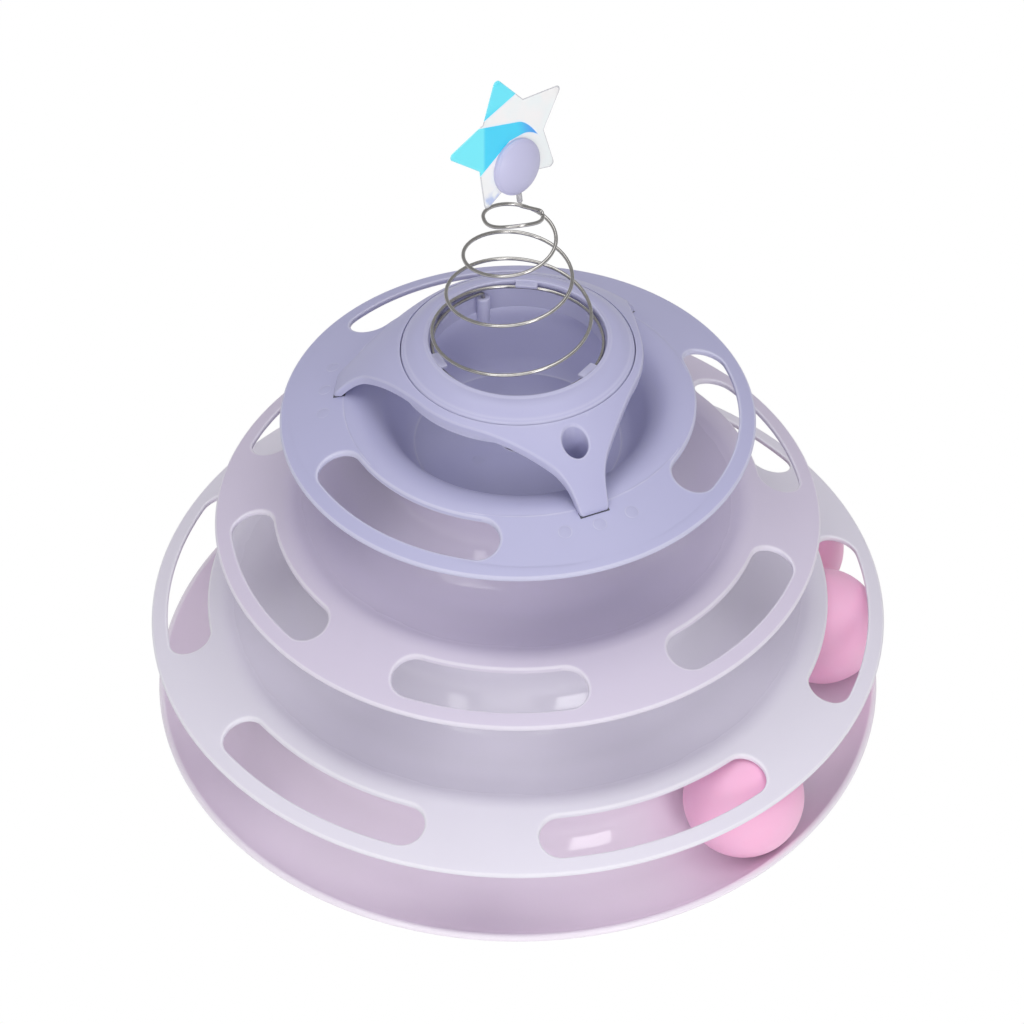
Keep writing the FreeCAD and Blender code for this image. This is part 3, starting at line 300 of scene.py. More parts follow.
class Shader:
    """A material's node tree, with short calls to add and join its nodes."""

    def __init__(self, name: str) -> None:
        """Starts a material that has one principled shader.

        Args:
            name: The material's name.
        """
        self.material = bpy.data.materials.new(name)
        self.material.use_nodes = True
        self.tree = self.material.node_tree
        self.surface = self.tree.nodes["Principled BSDF"]
        self.place = self.add("ShaderNodeTexCoord").outputs["Object"]

    def feed(self, target: Socket, source: object) -> None:
        """Links a socket to the target, or sets the target to a value.

        Args:
            target: The socket that receives.
            source: A socket, number or colour, which becomes opaque.
        """
        if isinstance(source, Socket):
            self.tree.links.new(source, target)
        else:
            target.default_value = (*source, 1.0) if target.type == "RGBA" else source

    def add(self, kind: str, inputs: dict | None = None, **settings: object) -> bpy.types.Node:
        """Adds a node.

        Args:
            kind: Its type.
            inputs: What its inputs receive, by name or number.
            settings: Its own properties.

        Returns:
            The node.
        """
        node = self.tree.nodes.new(kind)
        for key, value in settings.items():
            setattr(node, key, value)
        for key, value in (inputs or {}).items():
            self.feed(node.inputs[key], value)
        return node

    def maths(self, operation: str, *values: object) -> Socket:
        """Arithmetic on numbers, sockets and inner steps, which are written as tuples."""
        steps = [self.maths(*value) if isinstance(value, tuple) else value for value in values]
        return self.add("ShaderNodeMath", dict(enumerate(steps)), operation=operation).outputs[0]

    def ramp(self, value: object, low: float, high: float, bottom: float = 0.0,
             top: float = 1.0) -> Socket:
        """A value that rises smoothly from bottom to top as the input goes from low to high."""
        ends = {"Value": value, "From Min": low, "From Max": high, "To Min": bottom, "To Max": top}
        return self.add("ShaderNodeMapRange", ends, interpolation_type="SMOOTHSTEP").outputs[0]

    def noise(self, scale: float, detail: float = 2.0, place: Socket | None = None) -> Socket:
        """Smooth noise, read in the object's own space where no place is given."""
        inputs = {"Scale": scale, "Detail": detail, "Vector": self.place if place is None else place}
        return self.add("ShaderNodeTexNoise", inputs).outputs["Fac"]

    def blend(self, share: object, first: object, second: object) -> Socket:
        """A mix of two colours, by the share of the second."""
        return self.add("ShaderNodeMix", {0: share, 6: first, 7: second}, data_type="RGBA").outputs[2]

    def bump(self, height: Socket, distance: float, strength: float = 1.0) -> None:
        """Gives the surface a fine relief, of a depth in metres."""
        relief = {"Height": height, "Distance": distance, "Strength": strength}
        self.feed(self.surface.inputs["Normal"], self.add("ShaderNodeBump", relief).outputs[0])

    def finished(self, inputs: dict[str, object]) -> bpy.types.Material:
        """Feeds the surface's inputs.

        Args:
            inputs: What each receives.

        Returns:
            The material.
        """
        for key, value in inputs.items():
            self.feed(self.surface.inputs[key], value)
        return self.material


@dataclass(frozen=True)
class CloudedSkin:
    """A skin of two close colours in soft clouds.

    A cloud is its noise's scale and detail, and where it begins and ends. The roughness has
    its own noise and goes between two levels. The relief is a noise and a depth in metres.
    """

    name: str
    colour: Triple
    other: Triple
    cloud: tuple[float, float, float, float]
    rough: tuple[float, float, float, float]
    relief: Triple | None = None
    sockets: tuple[tuple[str, object], ...] = ()

    def material(self) -> bpy.types.Material:
        """Builds the material.

        Returns:
            The material.
        """
        shader = Shader(self.name)
        tint = shader.ramp(shader.noise(*self.cloud[:2]), *self.cloud[2:])
        rough = shader.ramp(shader.noise(*self.rough[:2]), 0.3, 0.7, *self.rough[2:])
        if self.relief is not None:
            shader.bump(shader.noise(*self.relief[:2]), self.relief[2])
        return shader.finished({"Base Color": shader.blend(tint, self.colour, self.other),
                                "Roughness": rough, **dict(self.sockets)})


@dataclass(frozen=True)
class MouldedPlastic:
    """Injection-moulded plastic: an even colour with faint flow marks and a fine grain, and a painted
    highlight on tightly rounded edges.

    The sloping outer part of a tier is satin and its track is polished, so the roughness
    falls from satin to polish across two radii in metres. The shade in the gap round each foot
    of the cover is painted: a dark box that reaches out to gap_shade_reach, where that is given.
    """

    name: str
    colour: Triple
    flow: Triple
    satin: float = 0.42
    polish: float = 0.24
    satin_radius: float = 0.0
    polish_radius: float = 0.0
    painted_edge_highlight: float = 0.35
    gap_shade_reach: float = 0.0
    gap_shade_half: float = 0.0
    grain: float = 0.000006
    glow: float = 0.06

    def foot_gap_shade(self, shader: Shader, x: Socket, y: Socket, radius: Socket) -> Socket:
        """1 in the gap round a foot, where shade is painted, and 0 elsewhere. The angle is folded so that
        all feet are one.

        Args:
            shader: The material being made.
            x: The place's x.
            y: The place's y.
            radius: Its distance from the axis.

        Returns:
            The result's socket.
        """
        angle = ("SUBTRACT", ("ARCTAN2", y, x), math.pi / 3)
        folded = shader.maths("WRAP", angle, math.pi / 3, -math.pi / 3)
        along = shader.maths("MULTIPLY", radius, ("COSINE", folded))
        side = ("ABSOLUTE", ("MULTIPLY", radius, ("SINE", folded)))
        inside = ("MULTIPLY", ("LESS_THAN", side, self.gap_shade_half), ("LESS_THAN", along, self.gap_shade_reach))
        return shader.maths("MULTIPLY", inside, ("GREATER_THAN", along, self.gap_shade_reach - 0.004))

    def material(self) -> bpy.types.Material:
        """Builds the material.

        Returns:
            The material.
        """
        shader = Shader(self.name)
        x, y, _ = shader.add("ShaderNodeSeparateXYZ", {0: shader.place}).outputs
        radius = shader.maths("SQRT", ("ADD", ("MULTIPLY", x, x), ("MULTIPLY", y, y)))
        skin = shader.blend(shader.ramp(shader.noise(11.0, 3.0), 0.35, 0.68), self.colour, self.flow)
        edge = shader.add("ShaderNodeAttribute", attribute_name="edge").outputs["Fac"]
        # Painted highlight: tightly rounded edges, picked out by the edge attribute, are blended towards a
        # pale white.
        skin = shader.blend(shader.maths("MULTIPLY", edge, self.painted_edge_highlight), skin, (0.93, 0.92, 0.96))
        # Painted shade: the gap round each foot of the cover is darkened to near black.
        if self.gap_shade_reach > 0.0:
            skin = shader.blend(self.foot_gap_shade(shader, x, y, radius), skin, (0.09, 0.09, 0.12))
        if self.satin_radius > 0.0:
            rough = shader.ramp(radius, self.polish_radius, self.satin_radius, self.polish, self.satin)
        else:
            rough = shader.ramp(shader.noise(24.0), 0.3, 0.7, self.satin - 0.03, self.satin + 0.03)
        cloud = shader.ramp(shader.noise(60.0, 4.0), 0.3, 0.7, -0.015, 0.015)
        shader.bump(shader.noise(1500.0, 2.0), self.grain)
        return shader.finished({
            "Base Color": skin, "Roughness": shader.maths("ADD", rough, cloud), "IOR": 1.49,
            "Subsurface Weight": self.glow, "Subsurface Radius": (1.0, 0.9, 1.0),
            "Subsurface Scale": 0.002,
        })


@dataclass(frozen=True)
class StarFilm:
    """Glossy film with a wavy print: cyan on one point and one arm, clear-white elsewhere, with a painted
    glint near its foot.

    The print is worked out from the star's own UV map, whose middle is the star's middle
    and whose unit is ten millimetres. With u across and v up, the cyan point lies above
    v = 1.265 + 0.26 u. The cyan arm lies between v = 0.56 - 0.3 u - 1.05 (u - 0.4) squared and
    v = -0.03 - 0.5 |u| - 0.75 (u - 0.5) squared, each last term taken only where its bracket
    is positive and |u| only to the left. The film is creased along u = -1.03 + 0.15 v. The sheet
    is flat, and the light on the crease's two sides is painted: paler cyan left of the line and
    deeper cyan right of it. The cyan is also paler towards the upper point.
    """

    name: str = "star_film"
    pale: Triple = (0.17, 0.87, 1.0)
    cyan: Triple = (0.045, 0.68, 0.98)
    blue: Triple = (0.07, 0.38, 0.92)
    fringe: Triple = (0.88, 0.92, 0.98)
    sheet: Triple = (0.95, 0.935, 0.94)
    pearl: Triple = (0.90, 0.94, 0.95)
    painted_glint: Triple = (0.42, 0.52, 0.86)
    border: Triple = (0.60, 0.60, 0.64)

    def tinted(self, shader: Shader, across: Socket, up: Socket) -> Socket:
        """How far inside the cyan print a place lies, less than 0 outside it.

        Args:
            shader: The material being made.
            across: The chart's u.
            up: The chart's v.

        Returns:
            The result's socket.
        """
        late = shader.maths("MAXIMUM", ("SUBTRACT", across, 0.4), 0.0)
        end = shader.maths("MAXIMUM", ("SUBTRACT", across, 0.5), 0.0)
        left = ("MAXIMUM", ("MULTIPLY", across, -1.0), 0.0)
        point = ("SUBTRACT", up, ("MULTIPLY_ADD", across, 0.26, 1.265))
        drop, droop = ("MULTIPLY", late, late), ("MULTIPLY", end, end)
        crest = ("SUBTRACT", ("MULTIPLY_ADD", across, -0.3, 0.56), ("MULTIPLY", drop, 1.05))
        foot = ("SUBTRACT", ("MULTIPLY_ADD", left, -0.5, -0.03), ("MULTIPLY", droop, 0.75))
        arm = ("MINIMUM", ("SUBTRACT", crest, up), ("SUBTRACT", up, foot))
        return shader.maths("MAXIMUM", point, arm)

    def material(self) -> bpy.types.Material:
        """Builds the material.

        Returns:
            The material.
        """
        shader = Shader(self.name)
        ramp, blend, noise = shader.ramp, shader.blend, shader.noise
        chart = shader.add("ShaderNodeUVMap", uv_map="UVMap").outputs[0]
        across, up, _ = shader.add("ShaderNodeSeparateXYZ", {0: chart}).outputs
        # Painted light: the cyan is painted paler left of the crease line and deeper right of it, standing
        # in for light on the crease's two sides. It is also paler towards the upper point.
        fold = ramp(shader.maths("SUBTRACT", across, ("MULTIPLY", up, 0.15)), -1.09, -0.95)
        crease_shade = shader.maths("MAXIMUM", ("SUBTRACT", fold, ("MULTIPLY", ramp(up, 0.95, 1.35), 0.75)), 0.0)
        tint = blend(ramp(across, 0.3, 0.95), blend(crease_shade, self.pale, self.cyan), self.blue)
        clear = blend(ramp(noise(0.9, 2.0, chart), 0.4, 0.62), self.sheet, self.pearl)
        # Painted glint: a blue-grey patch in the clear film at the star's lower left.
        low = ("MULTIPLY", ramp(up, -1.6, -1.3, 0.8, 0.0), ramp(across, -0.6, -0.4, 1.0, 0.0))
        painted_glint_share = shader.maths("MULTIPLY", low, ramp(noise(2.5, 1.0, chart), 0.4, 0.6))
        inside = self.tinted(shader, across, up)
        edged = blend(ramp(inside, -0.09, -0.03), blend(painted_glint_share, clear, self.painted_glint), self.fringe)
        rim = ramp(shader.add("ShaderNodeAttribute", attribute_name="border").outputs["Fac"], 0.965, 0.985)
        outline = shader.maths("MULTIPLY", rim, ramp(inside, -0.03, 0.0, 1.0, 0.15))
        printed = blend(outline, blend(ramp(inside, -0.015, 0.015), edged, tint), self.border)
        shader.bump(noise(0.8, 1.0, chart), 0.0002, 0.3)
        return shader.finished({
            "Base Color": printed, "Roughness": ramp(noise(1.6, 2.0, chart), 0.3, 0.7, 0.16, 0.24),
            "Coat Weight": 0.4, "Coat Roughness": 0.1,
        })


# Lavender's last three numbers are its painted edge highlight and the reach and half width of its painted
# shade in the gaps round the feet.
LAVENDER = MouldedPlastic("lavender_plastic", (0.455, 0.45, 0.665), (0.465, 0.46, 0.675), 0.4, 0.2,
                          0.0345, 0.0335, 0.24, 0.0594, 0.0050)
COVER_SKIN = MouldedPlastic("cover_plastic", (0.455, 0.45, 0.665), (0.465, 0.46, 0.675), 0.38,
                            painted_edge_highlight=0.12)
DISC_SKIN = MouldedPlastic("disc_plastic", (0.54, 0.53, 0.74), (0.55, 0.54, 0.75), 0.36, painted_edge_highlight=0.0)
MAUVE = MouldedPlastic("mauve_plastic", (0.635, 0.575, 0.715), (0.65, 0.59, 0.73), 0.42, 0.08, 0.08, 0.06)
ICE = MouldedPlastic("ice_plastic", (0.74, 0.71, 0.81), (0.76, 0.73, 0.83), 0.42, 0.09, 0.105, 0.085)
LILAC = MouldedPlastic("lilac_plastic", (0.88, 0.78, 0.90), (0.89, 0.79, 0.91), 0.2, 0.07, 0.12, 0.105)
MATT_BALL = CloudedSkin(
    "ball_skin", (0.97, 0.50, 0.73), (0.97, 0.53, 0.75), (70.0, 3.0, 0.3, 0.7),
    (240.0, 2.0, 0.5, 0.6), (2600.0, 1.0, 0.000012),
    (("Subsurface Weight", 0.12), ("Subsurface Radius", (1.0, 0.4, 0.5)),
     ("Subsurface Scale", 0.003), ("Sheen Weight", 0.15)))
DRAWN_STEEL = CloudedSkin(
    "spring_wire", (0.52, 0.505, 0.49), (0.44, 0.425, 0.41), (260.0, 3.0, 0.4, 0.75),
    (160.0, 2.0, 0.14, 0.2), (5000.0, 1.0, 0.000001), (("Metallic", 1.0),))
PAD_RUBBER = CloudedSkin(
    "pad_rubber", (0.34, 0.34, 0.36), (0.46, 0.45, 0.47), (320.0, 5.0, 0.45, 0.75),
    (500.0, 2.0, 0.7, 0.85), (1800.0, 3.0, 0.00003))
CLEAR_SLEEVE = CloudedSkin(
    "clear_sleeve", (0.86, 0.85, 0.90), (0.78, 0.77, 0.84), (500.0, 2.0, 0.3, 0.7),
    (700.0, 2.0, 0.14, 0.24), None, (("Transmission Weight", 0.55), ("IOR", 1.46)))


class Dresser:
    """Gives each piece its material and its body, and hides the CAD node that it stands for."""

    def __init__(self) -> None:
        """Starts with no material made."""
        self.made: dict[object, bpy.types.Material] = {}

    def dress(self, piece: Piece, finish: object, slot: Slot, node: str, body: str | None) -> None:
        """Finishes one piece.

        Args:
            piece: The object.
            finish: Its finish.
            slot: Its slot in the record. It is not used.
            node: The CAD node that it stands for.
            body: The body that it rides on, or None for none.
        """
        if finish not in self.made:
            self.made[finish] = finish.material()
        piece.data.materials.append(self.made[finish])
        if body is not None:
            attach(piece, body)
        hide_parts(node)
        LOG.info("dressed %s", piece.name)


# ---------------------------------------------------------------- tiers


@dataclass(frozen=True)
class Wall:
    """What all tiers share."""

    thick: float = 2.2
    slope: float = 18.3
    slot_outer_inset: float = 5.5
    slot_inner_inset: float = 19.4
    slot_margin: float = 1.6
    rim_margin: float = 3.0
    slot_edge: float = 0.8
    column_fillet: float = 20.0
    column_edge: float = 0.6
    collar_wall: float = 2.0
    collar_depth: float = 7.0
    collar_soft: float = 0.4
    collar_sink: float = 0.3
    rib_depth: float = 4.0
    rib_width: float = 2.0
    rib_rise: float = 12.0
    rib_count: int = 6
    fit: float = 0.3
    seat_step: float = 0.4


WALL = Wall()
SLOPE = math.radians(WALL.slope)


def evenly(count: int, start: float = 0.0) -> list[float]:
    """Angles in degrees that share out a turn."""
    return [start + 360.0 * index / count for index in range(count)]


def column_head(outside: float, inside: float, top: float) -> Array:
    """The section of a column's rounded upper end, from its outer to its inner face."""
    back, drop = edge_rounding(WALL.column_edge, 3)
    return np.concatenate([pairs(outside - back, top - drop)[::-1], pairs(inside + back, top - drop)])


def collar_ring(column: float, wall: float, seat: float, floor: float) -> Patch:
    """A stepped ring: its shoulder rests on a column's end and its skirt reaches inside.

    Args:
        column: The column's outer radius.
        wall: The column's wall.
        seat: Height of the column's end.
        floor: Height of the floor that the ring runs into, in the tier above.

    Returns:
        The closed patch.
    """
    outside = column - wall - WALL.fit
    inside = outside - WALL.collar_wall
    foot, skin, soft = seat - WALL.collar_depth, floor - WALL.collar_sink, WALL.collar_soft
    profile = np.array([
        [inside, skin], [inside, foot + soft], [inside + soft, foot], [outside - soft, foot],
        [outside, foot + soft], [outside, seat], [column - soft, seat], [column, seat + soft / 2],
        [column, skin],
    ])
    return revolved(profile, closed=True)


def column_ribs(column: float, wall: float, floor: float, top: float) -> Patch:
    """Upright ribs inside a column.

    Args:
        column: The column's outer radius.
        wall: Its wall.
        floor: Height of the track's floor, from which the ribs' lower ends stand up.
        top: Height of the column's end.

    Returns:
        The patches in one.
    """
    outer, inner = column - wall / 2, column - wall - WALL.rib_depth
    head = top - WALL.collar_depth - WALL.fit
    rib = block((outer - inner) / 2, WALL.rib_width / 2, floor + WALL.rib_rise, head, 0.3, 0.5)
    return rib.at((outer + inner) / 2, 0.0).around(evenly(WALL.rib_count))


@dataclass(frozen=True)
class Umbrella:
    """The slotted slope of one tier, from its round rim in to its crest.

    Its upper and lower faces are cones: height = rim height + (rim radius - r) tan(slope),
    half a wall above and below the middle line. Each slot is a stadium bent round the axis.
    """

    rim_radius: float
    rim_height: float
    slot_angle: float
    slot_count: int
    slot_turn: float

    def face(self, radius: Number, side: int) -> Number:
        """Height of the upper or lower face.

        Args:
            radius: Distances from the axis.
            side: 1 for the upper face and -1 for the lower.

        Returns:
            The heights.
        """
        half = side * WALL.thick / 2
        start = self.rim_radius - WALL.thick / 2 + half * math.sin(SLOPE)
        return self.rim_height + half * math.cos(SLOPE) + (start - radius) * math.tan(SLOPE)

    @property
    def inner_border(self) -> float:
        """Radius at which the slotted band meets the plain part inside it."""
        return self.rim_radius - WALL.slot_inner_inset - WALL.slot_margin

    @property
    def outer_border(self) -> float:
        """Radius at which the slotted band meets the rim."""
        return self.rim_radius - WALL.rim_margin

    def edge_point(self, border: float, side: int) -> list[list[float]]:
        """One point of the upper (1) or lower (-1) face, as a row of radius and height."""
        return [[border, self.face(border, side)]]

    def rim(self) -> Patch:
        """The rim outside the slotted band, with its half-round edge.

        Returns:
            The patch.
        """
        centre = (self.rim_radius - WALL.thick / 2, self.rim_height)
        edge = arc(centre, WALL.thick / 2, -90 - WALL.slope, 90 - WALL.slope, 14)
        lower, upper = (self.edge_point(self.outer_border, side) for side in (-1, 1))
        return revolved(np.concatenate([lower, edge, upper]))

    def slot_loop(self, margin: float, across: int, around: int) -> Array:
        """The slot's outline, grown by a margin, as radius and angle from the slot's middle.

        Args:
            margin: How far outside the slot's wall.
            across: Spans along each long side.
            around: Spans round each end.

        Returns:
            2 (across + around) points of radius and angle.
        """
        outer = self.rim_radius - WALL.slot_outer_inset
        inner = self.rim_radius - WALL.slot_inner_inset
        middle, half = (outer + inner) / 2, (outer - inner) / 2
        reach = math.radians(self.slot_angle) / 2 - half / middle
        along = np.linspace(-reach, reach, across + 1)[:-1]
        turn = np.linspace(0.0, math.pi, around + 1)[:-1]
        cap = half + margin
        x, y = np.concatenate([
            polar(outer + margin, along),
            polar(middle, reach) + polar(cap, reach + turn),
            polar(inner - margin, -along),
            polar(middle, -reach) + polar(cap, math.pi - reach + turn),
        ]).T
        return pairs(np.hypot(x, y), np.arctan2(y, x))

    def border_loop(self, across: int, around: int) -> Array:
        """The border of one slot's share of the band, matched point by point to the slot's loop.

        Args:
            across: Spans along each arc of the border.
            around: Spans along each straight side.

        Returns:
            2 (across + around) points of radius and angle.
        """
        half = math.pi / self.slot_count
        along = np.linspace(-half, half, across + 1)[:-1]
        outer, inner = self.outer_border, self.inner_border
        inward, outward = (np.linspace(*ends, around + 1)[:-1] for ends in ((outer, inner), (inner, outer)))
        return np.concatenate([pairs(outer, along), pairs(inward, half),
                               pairs(inner, -along), pairs(outward, -half)])

    def slot_share(self, around: int = 18, rings: int = 5) -> Patch:
        """One slot with its share of the band: both faces, the rounded edges and the wall.

        Args:
            around: Spans round each end of the slot.
            rings: Rings between the border and the slot's edge.

        Returns:
            The patch, with the slot's middle at angle 0.
        """
        across = ROUND_COUNT // self.slot_count
        edge = self.slot_loop(WALL.slot_edge * 1.5, across, around)
        spread = between(self.border_loop(across, around), edge, rings)
        back, drop = edge_rounding(WALL.slot_edge)
        rounding = np.stack([self.slot_loop(margin, across, around) for margin in back])
        radius, angle = np.moveaxis(np.concatenate([spread, rounding]), -1, 0)
        fall = np.concatenate([np.zeros(len(spread)), drop])[:, None]
        top, under = (raised(polar(radius, angle), self.face(radius, side) - side * fall)
                      for side in (1, -1))
        return lattice(np.concatenate([top, under[::-1]]))

    def band(self) -> Patch:
        """The whole slotted band and the rim."""
        turns = evenly(self.slot_count, self.slot_turn)
        return joined([self.rim(), self.slot_share().around(turns)])


@dataclass(frozen=True)
class TrackTier:
    """A tier whose track runs between its crest and its column."""

    name: str
    umbrella: Umbrella
    column_radius: float
    column_top: float
    column_below: float
    wall_below: float
    seat: float
    crest_inset: float = 24.5
    crest_rounding: float = 9.0
    track_inset: float = 43.0
    valley_rounding: float = 48.0

    @property
    def crest(self) -> tuple[float, float]:
        """Centre of the crest's arc."""
        radius = self.umbrella.rim_radius - self.crest_inset
        start = radius + self.crest_rounding * math.sin(SLOPE)
        return radius, self.umbrella.face(start, 1) - self.crest_rounding * math.cos(SLOPE)

    @property
    def fall(self) -> float:
        """Slope in degrees where the crest turns into the valley."""
        run = self.track_inset - self.crest_inset
        return math.degrees(math.asin(run / (self.crest_rounding + self.valley_rounding)))

    @property
    def floor(self) -> float:
        """Height of the lowest line of the track."""
        both = self.crest_rounding + self.valley_rounding
        return self.crest[1] + self.crest_rounding - both * (1 - math.cos(math.radians(self.fall)))

    def profile(self) -> Array:
        """The section inside the slotted band, over the track and column and back below.

        Returns:
            Points of radius and height.
        """
        thick, fillet, border = WALL.thick, WALL.column_fillet, self.umbrella.inner_border
        valley = (self.umbrella.rim_radius - self.track_inset, self.floor + self.valley_rounding)
        foot = (self.column_radius + fillet, self.floor + fillet)
        start, end = 90 - WALL.slope, 90 + self.fall
        outside, top = self.column_radius, self.column_top
        return np.concatenate([
            self.umbrella.edge_point(border, 1),
            arc(self.crest, self.crest_rounding, start, end, 20),
            arc(valley, self.valley_rounding, self.fall - 90, -90, 26),
            arc(foot, fillet, -90, -180, 20),
            between((outside, foot[1]), (outside, top - WALL.column_edge), 3),
            column_head(outside, outside - thick, top),
            arc(foot, fillet + thick, 180, 270, 16),
            arc(valley, self.valley_rounding + thick, -90, self.fall - 90, 12),
            arc(self.crest, self.crest_rounding - thick, end, start, 8),
            self.umbrella.edge_point(border, -1),
        ])

    def build(self) -> Piece:
        """Makes the tier's mesh, with the collar below its track and the ribs in its column.

        Returns:
            The object.
        """
        collar = collar_ring(self.column_below, self.wall_below, self.seat, self.floor)
        ribs = column_ribs(self.column_radius, WALL.thick, self.floor, self.column_top)
        parts = [self.umbrella.band(), revolved(self.profile()), collar, ribs]
        return mesh_object(self.name, joined(parts))


@dataclass(frozen=True)
class TopTier:
    """The smallest tier, whose crest falls into a steep-walled bowl with a hole in its floor."""

    umbrella: Umbrella
    corner: float = 33.7
    floor: float = 116.5
    crest_rounding: float = 12.0
    wall_slope: float = 65.0
    foot_rounding: float = 10.0
    foot_slope: float = 30.0
    hole: float = 5.2
    hole_edge: float = 0.5
    column_below: float = 36.5
    mark_radius: float = 2.3
    mark_rise: float = 0.16
    mark_sink: float = 0.04
    mark_root: float = 0.3
    mark_distance: float = 62.8
    mark_turns: tuple[float, ...] = (-70.5, -60.0, -49.5, 169.5, 180.0, 190.5)
    gate_distance: float = 16.1
    gate_turn: float = -137.3

    @property
    def foot(self) -> tuple[float, float]:
        """Centre of the arc at the foot of the bowl's wall."""
        low = math.radians(self.foot_slope)
        return (self.corner - self.foot_rounding * math.sin(low),
                self.floor + self.foot_rounding * math.cos(low))

    @property
    def crest(self) -> tuple[float, float]:
        """Centre of the crest's arc, which touches the cone and the bowl's straight wall."""
        steep, rounding = math.radians(self.wall_slope), self.crest_rounding
        start_x = self.foot[0] + self.foot_rounding * math.sin(steep)
        start_y = self.foot[1] - self.foot_rounding * math.cos(steep)
        cone = self.umbrella.face(0.0, 1) - rounding / math.cos(SLOPE)
        wall = start_y - start_x * math.tan(steep) - rounding / math.cos(steep)
        radius = (cone - wall) / (math.tan(steep) + math.tan(SLOPE))
        return radius, cone - radius * math.tan(SLOPE)

    def profile(self) -> Array:
        """The section inside the slotted band: crest, wall, foot, floor and hole, and back.

        Returns:
            Points of radius and height.
        """
        thick, border = WALL.thick, self.umbrella.inner_border
        start, end = 90 - WALL.slope, 90 + self.wall_slope
        low, high = self.foot_slope - 90, self.wall_slope - 90
        under, mouth = self.floor - thick, self.hole + 2 * self.hole_edge
        back, drop = edge_rounding(self.hole_edge, 3)
        return np.concatenate([
            self.umbrella.edge_point(border, 1),
            arc(self.crest, self.crest_rounding, start, end, 32),
            arc(self.foot, self.foot_rounding, high, low, 10),
            between((self.corner - 0.4, self.floor), (mouth, self.floor), 6),
            pairs(self.hole + back, self.floor - drop),
            pairs(self.hole + back, under + drop)[::-1],
            between((mouth, under), (self.corner, under), 4),
            arc(self.foot, self.foot_rounding + thick, low, high, 8),
            arc(self.crest, self.crest_rounding - thick, end, start, 14),
            self.umbrella.edge_point(border, -1),
        ])

    def marks(self) -> Patch:
        """Faint round marks beside the feet, as low domes that lie on the slope.

        Returns:
            The patches in one.
        """
        share = np.linspace(0.0, 1.0, 6)
        dome = pairs(self.mark_radius * share, self.mark_rise * (1 - share**2) - self.mark_sink)
        under = [[self.mark_radius, -self.mark_root], [0.0, -self.mark_root]]
        mark = revolved(np.concatenate([dome, under]), 28)
        tilted = Patch(mark.points - np.outer(mark.points[:, 0] * math.tan(SLOPE), (0, 0, 1)), mark.quads)
        placed = tilted.at(self.mark_distance, 0.0, self.umbrella.face(self.mark_distance, 1))
        gate = mark.at(*polar(self.gate_distance, math.radians(self.gate_turn)), self.floor)
        return joined([gate, placed.around(self.mark_turns)])

    def build(self) -> Piece:
        """Makes the tier's mesh.

        Returns:
            The object.
        """
        seat = self.floor - WALL.thick - WALL.seat_step
        collar = collar_ring(self.column_below, WALL.thick, seat, self.floor)
        parts = [self.umbrella.band(), revolved(self.profile()), collar, self.marks()]
        return mesh_object("top_umbrella", joined(parts), 26.0)


# ---------------------------------------------------------------- base


@dataclass(frozen=True)
class Base:
    """The dished tray with its column, the seats below it and the rubber pads."""

    wall: float = 2.4
    rim_radius: float = 124.1
    rim_height: float = 11.5
    floor: float = 5.8
    track: float = 105.2
    column: float = 83.0
    seat: float = 45.33
    pad_circle: float = 103.0
    pad_radius: float = 7.0
    pad_height: float = 2.4
    pad_count: int = 6
    pad_room: float = 0.15
    boss_wall: float = 1.5
    boss_foot: float = 1.0
    boss_soft: float = 0.3
    boss_sink: float = 0.6

    def profile(self) -> Array:
        """The closed section of tray and column.

        Returns:
            Points of radius and height.
        """
        half, fillet = self.wall / 2, WALL.column_fillet
        across = self.rim_radius - half - self.track
        rise = self.rim_height - self.floor + half
        dish = (across**2 + rise**2) / (2 * rise)
        end = math.degrees(math.asin(across / dish)) - 90
        centre = (self.track, self.floor - half + dish)
        foot = (self.column + fillet, self.floor + fillet)
        return np.concatenate([
            arc(foot, fillet + self.wall, 180, 270, 18),
            arc(centre, dish + half, -90, end, 12),
            arc((self.rim_radius - half, self.rim_height), half, end, end + 180, 12),
            arc(centre, dish - half, end, -90, 14),
            arc(foot, fillet, -90, -180, 22),
            between((self.column, foot[1]), (self.column, self.seat - WALL.column_edge), 3),
            column_head(self.column, self.column - self.wall, self.seat),
        ])

    def seat_boss(self) -> Patch:
        """One round boss with the recess that holds a pad, about its own axis.

        Returns:
            The closed patch.
        """
        recess, soft, stand = self.pad_radius + self.pad_room, self.boss_soft, self.boss_foot
        outer, top = recess + self.boss_wall, self.floor - self.boss_sink
        return revolved(np.array([
            [0.0, self.pad_height], [recess, self.pad_height], [recess, stand + soft],
            [recess + soft, stand], [outer - soft, stand], [outer, stand + soft], [outer, top],
            [0.0, top],
        ]), 64)

    def build(self) -> Piece:
        """Makes the tray.

        Returns:
            The object.
        """
        bosses = self.seat_boss().at(self.pad_circle, 0.0).around(evenly(self.pad_count))
        ribs = column_ribs(self.column, self.wall, self.floor, self.seat)
        return mesh_object("base_dish", joined([revolved(self.profile(), closed=True), ribs, bosses]))

    def pads(self) -> list[Piece]:
        """Makes the rubber pads, each with a soft edge and a shallow ring in its sole.

        Returns:
            The objects.
        """
        radius, head = self.pad_radius, self.pad_height
        back, drop = edge_rounding(0.5)
        pad = revolved(np.concatenate([
            [[0.0, head]],
            pairs(radius - back, head - drop),
            pairs(radius - back, drop)[::-1],
            [[radius * 0.72, 0.0], [radius * 0.66, 0.25], [radius * 0.6, 0.0], [0.0, 0.0]],
        ]), 64).at(self.pad_circle, 0.0)
        return [mesh_object(f"rubber_pad_{index}", pad.around([turn]))
                for index, turn in enumerate(evenly(self.pad_count), 1)]


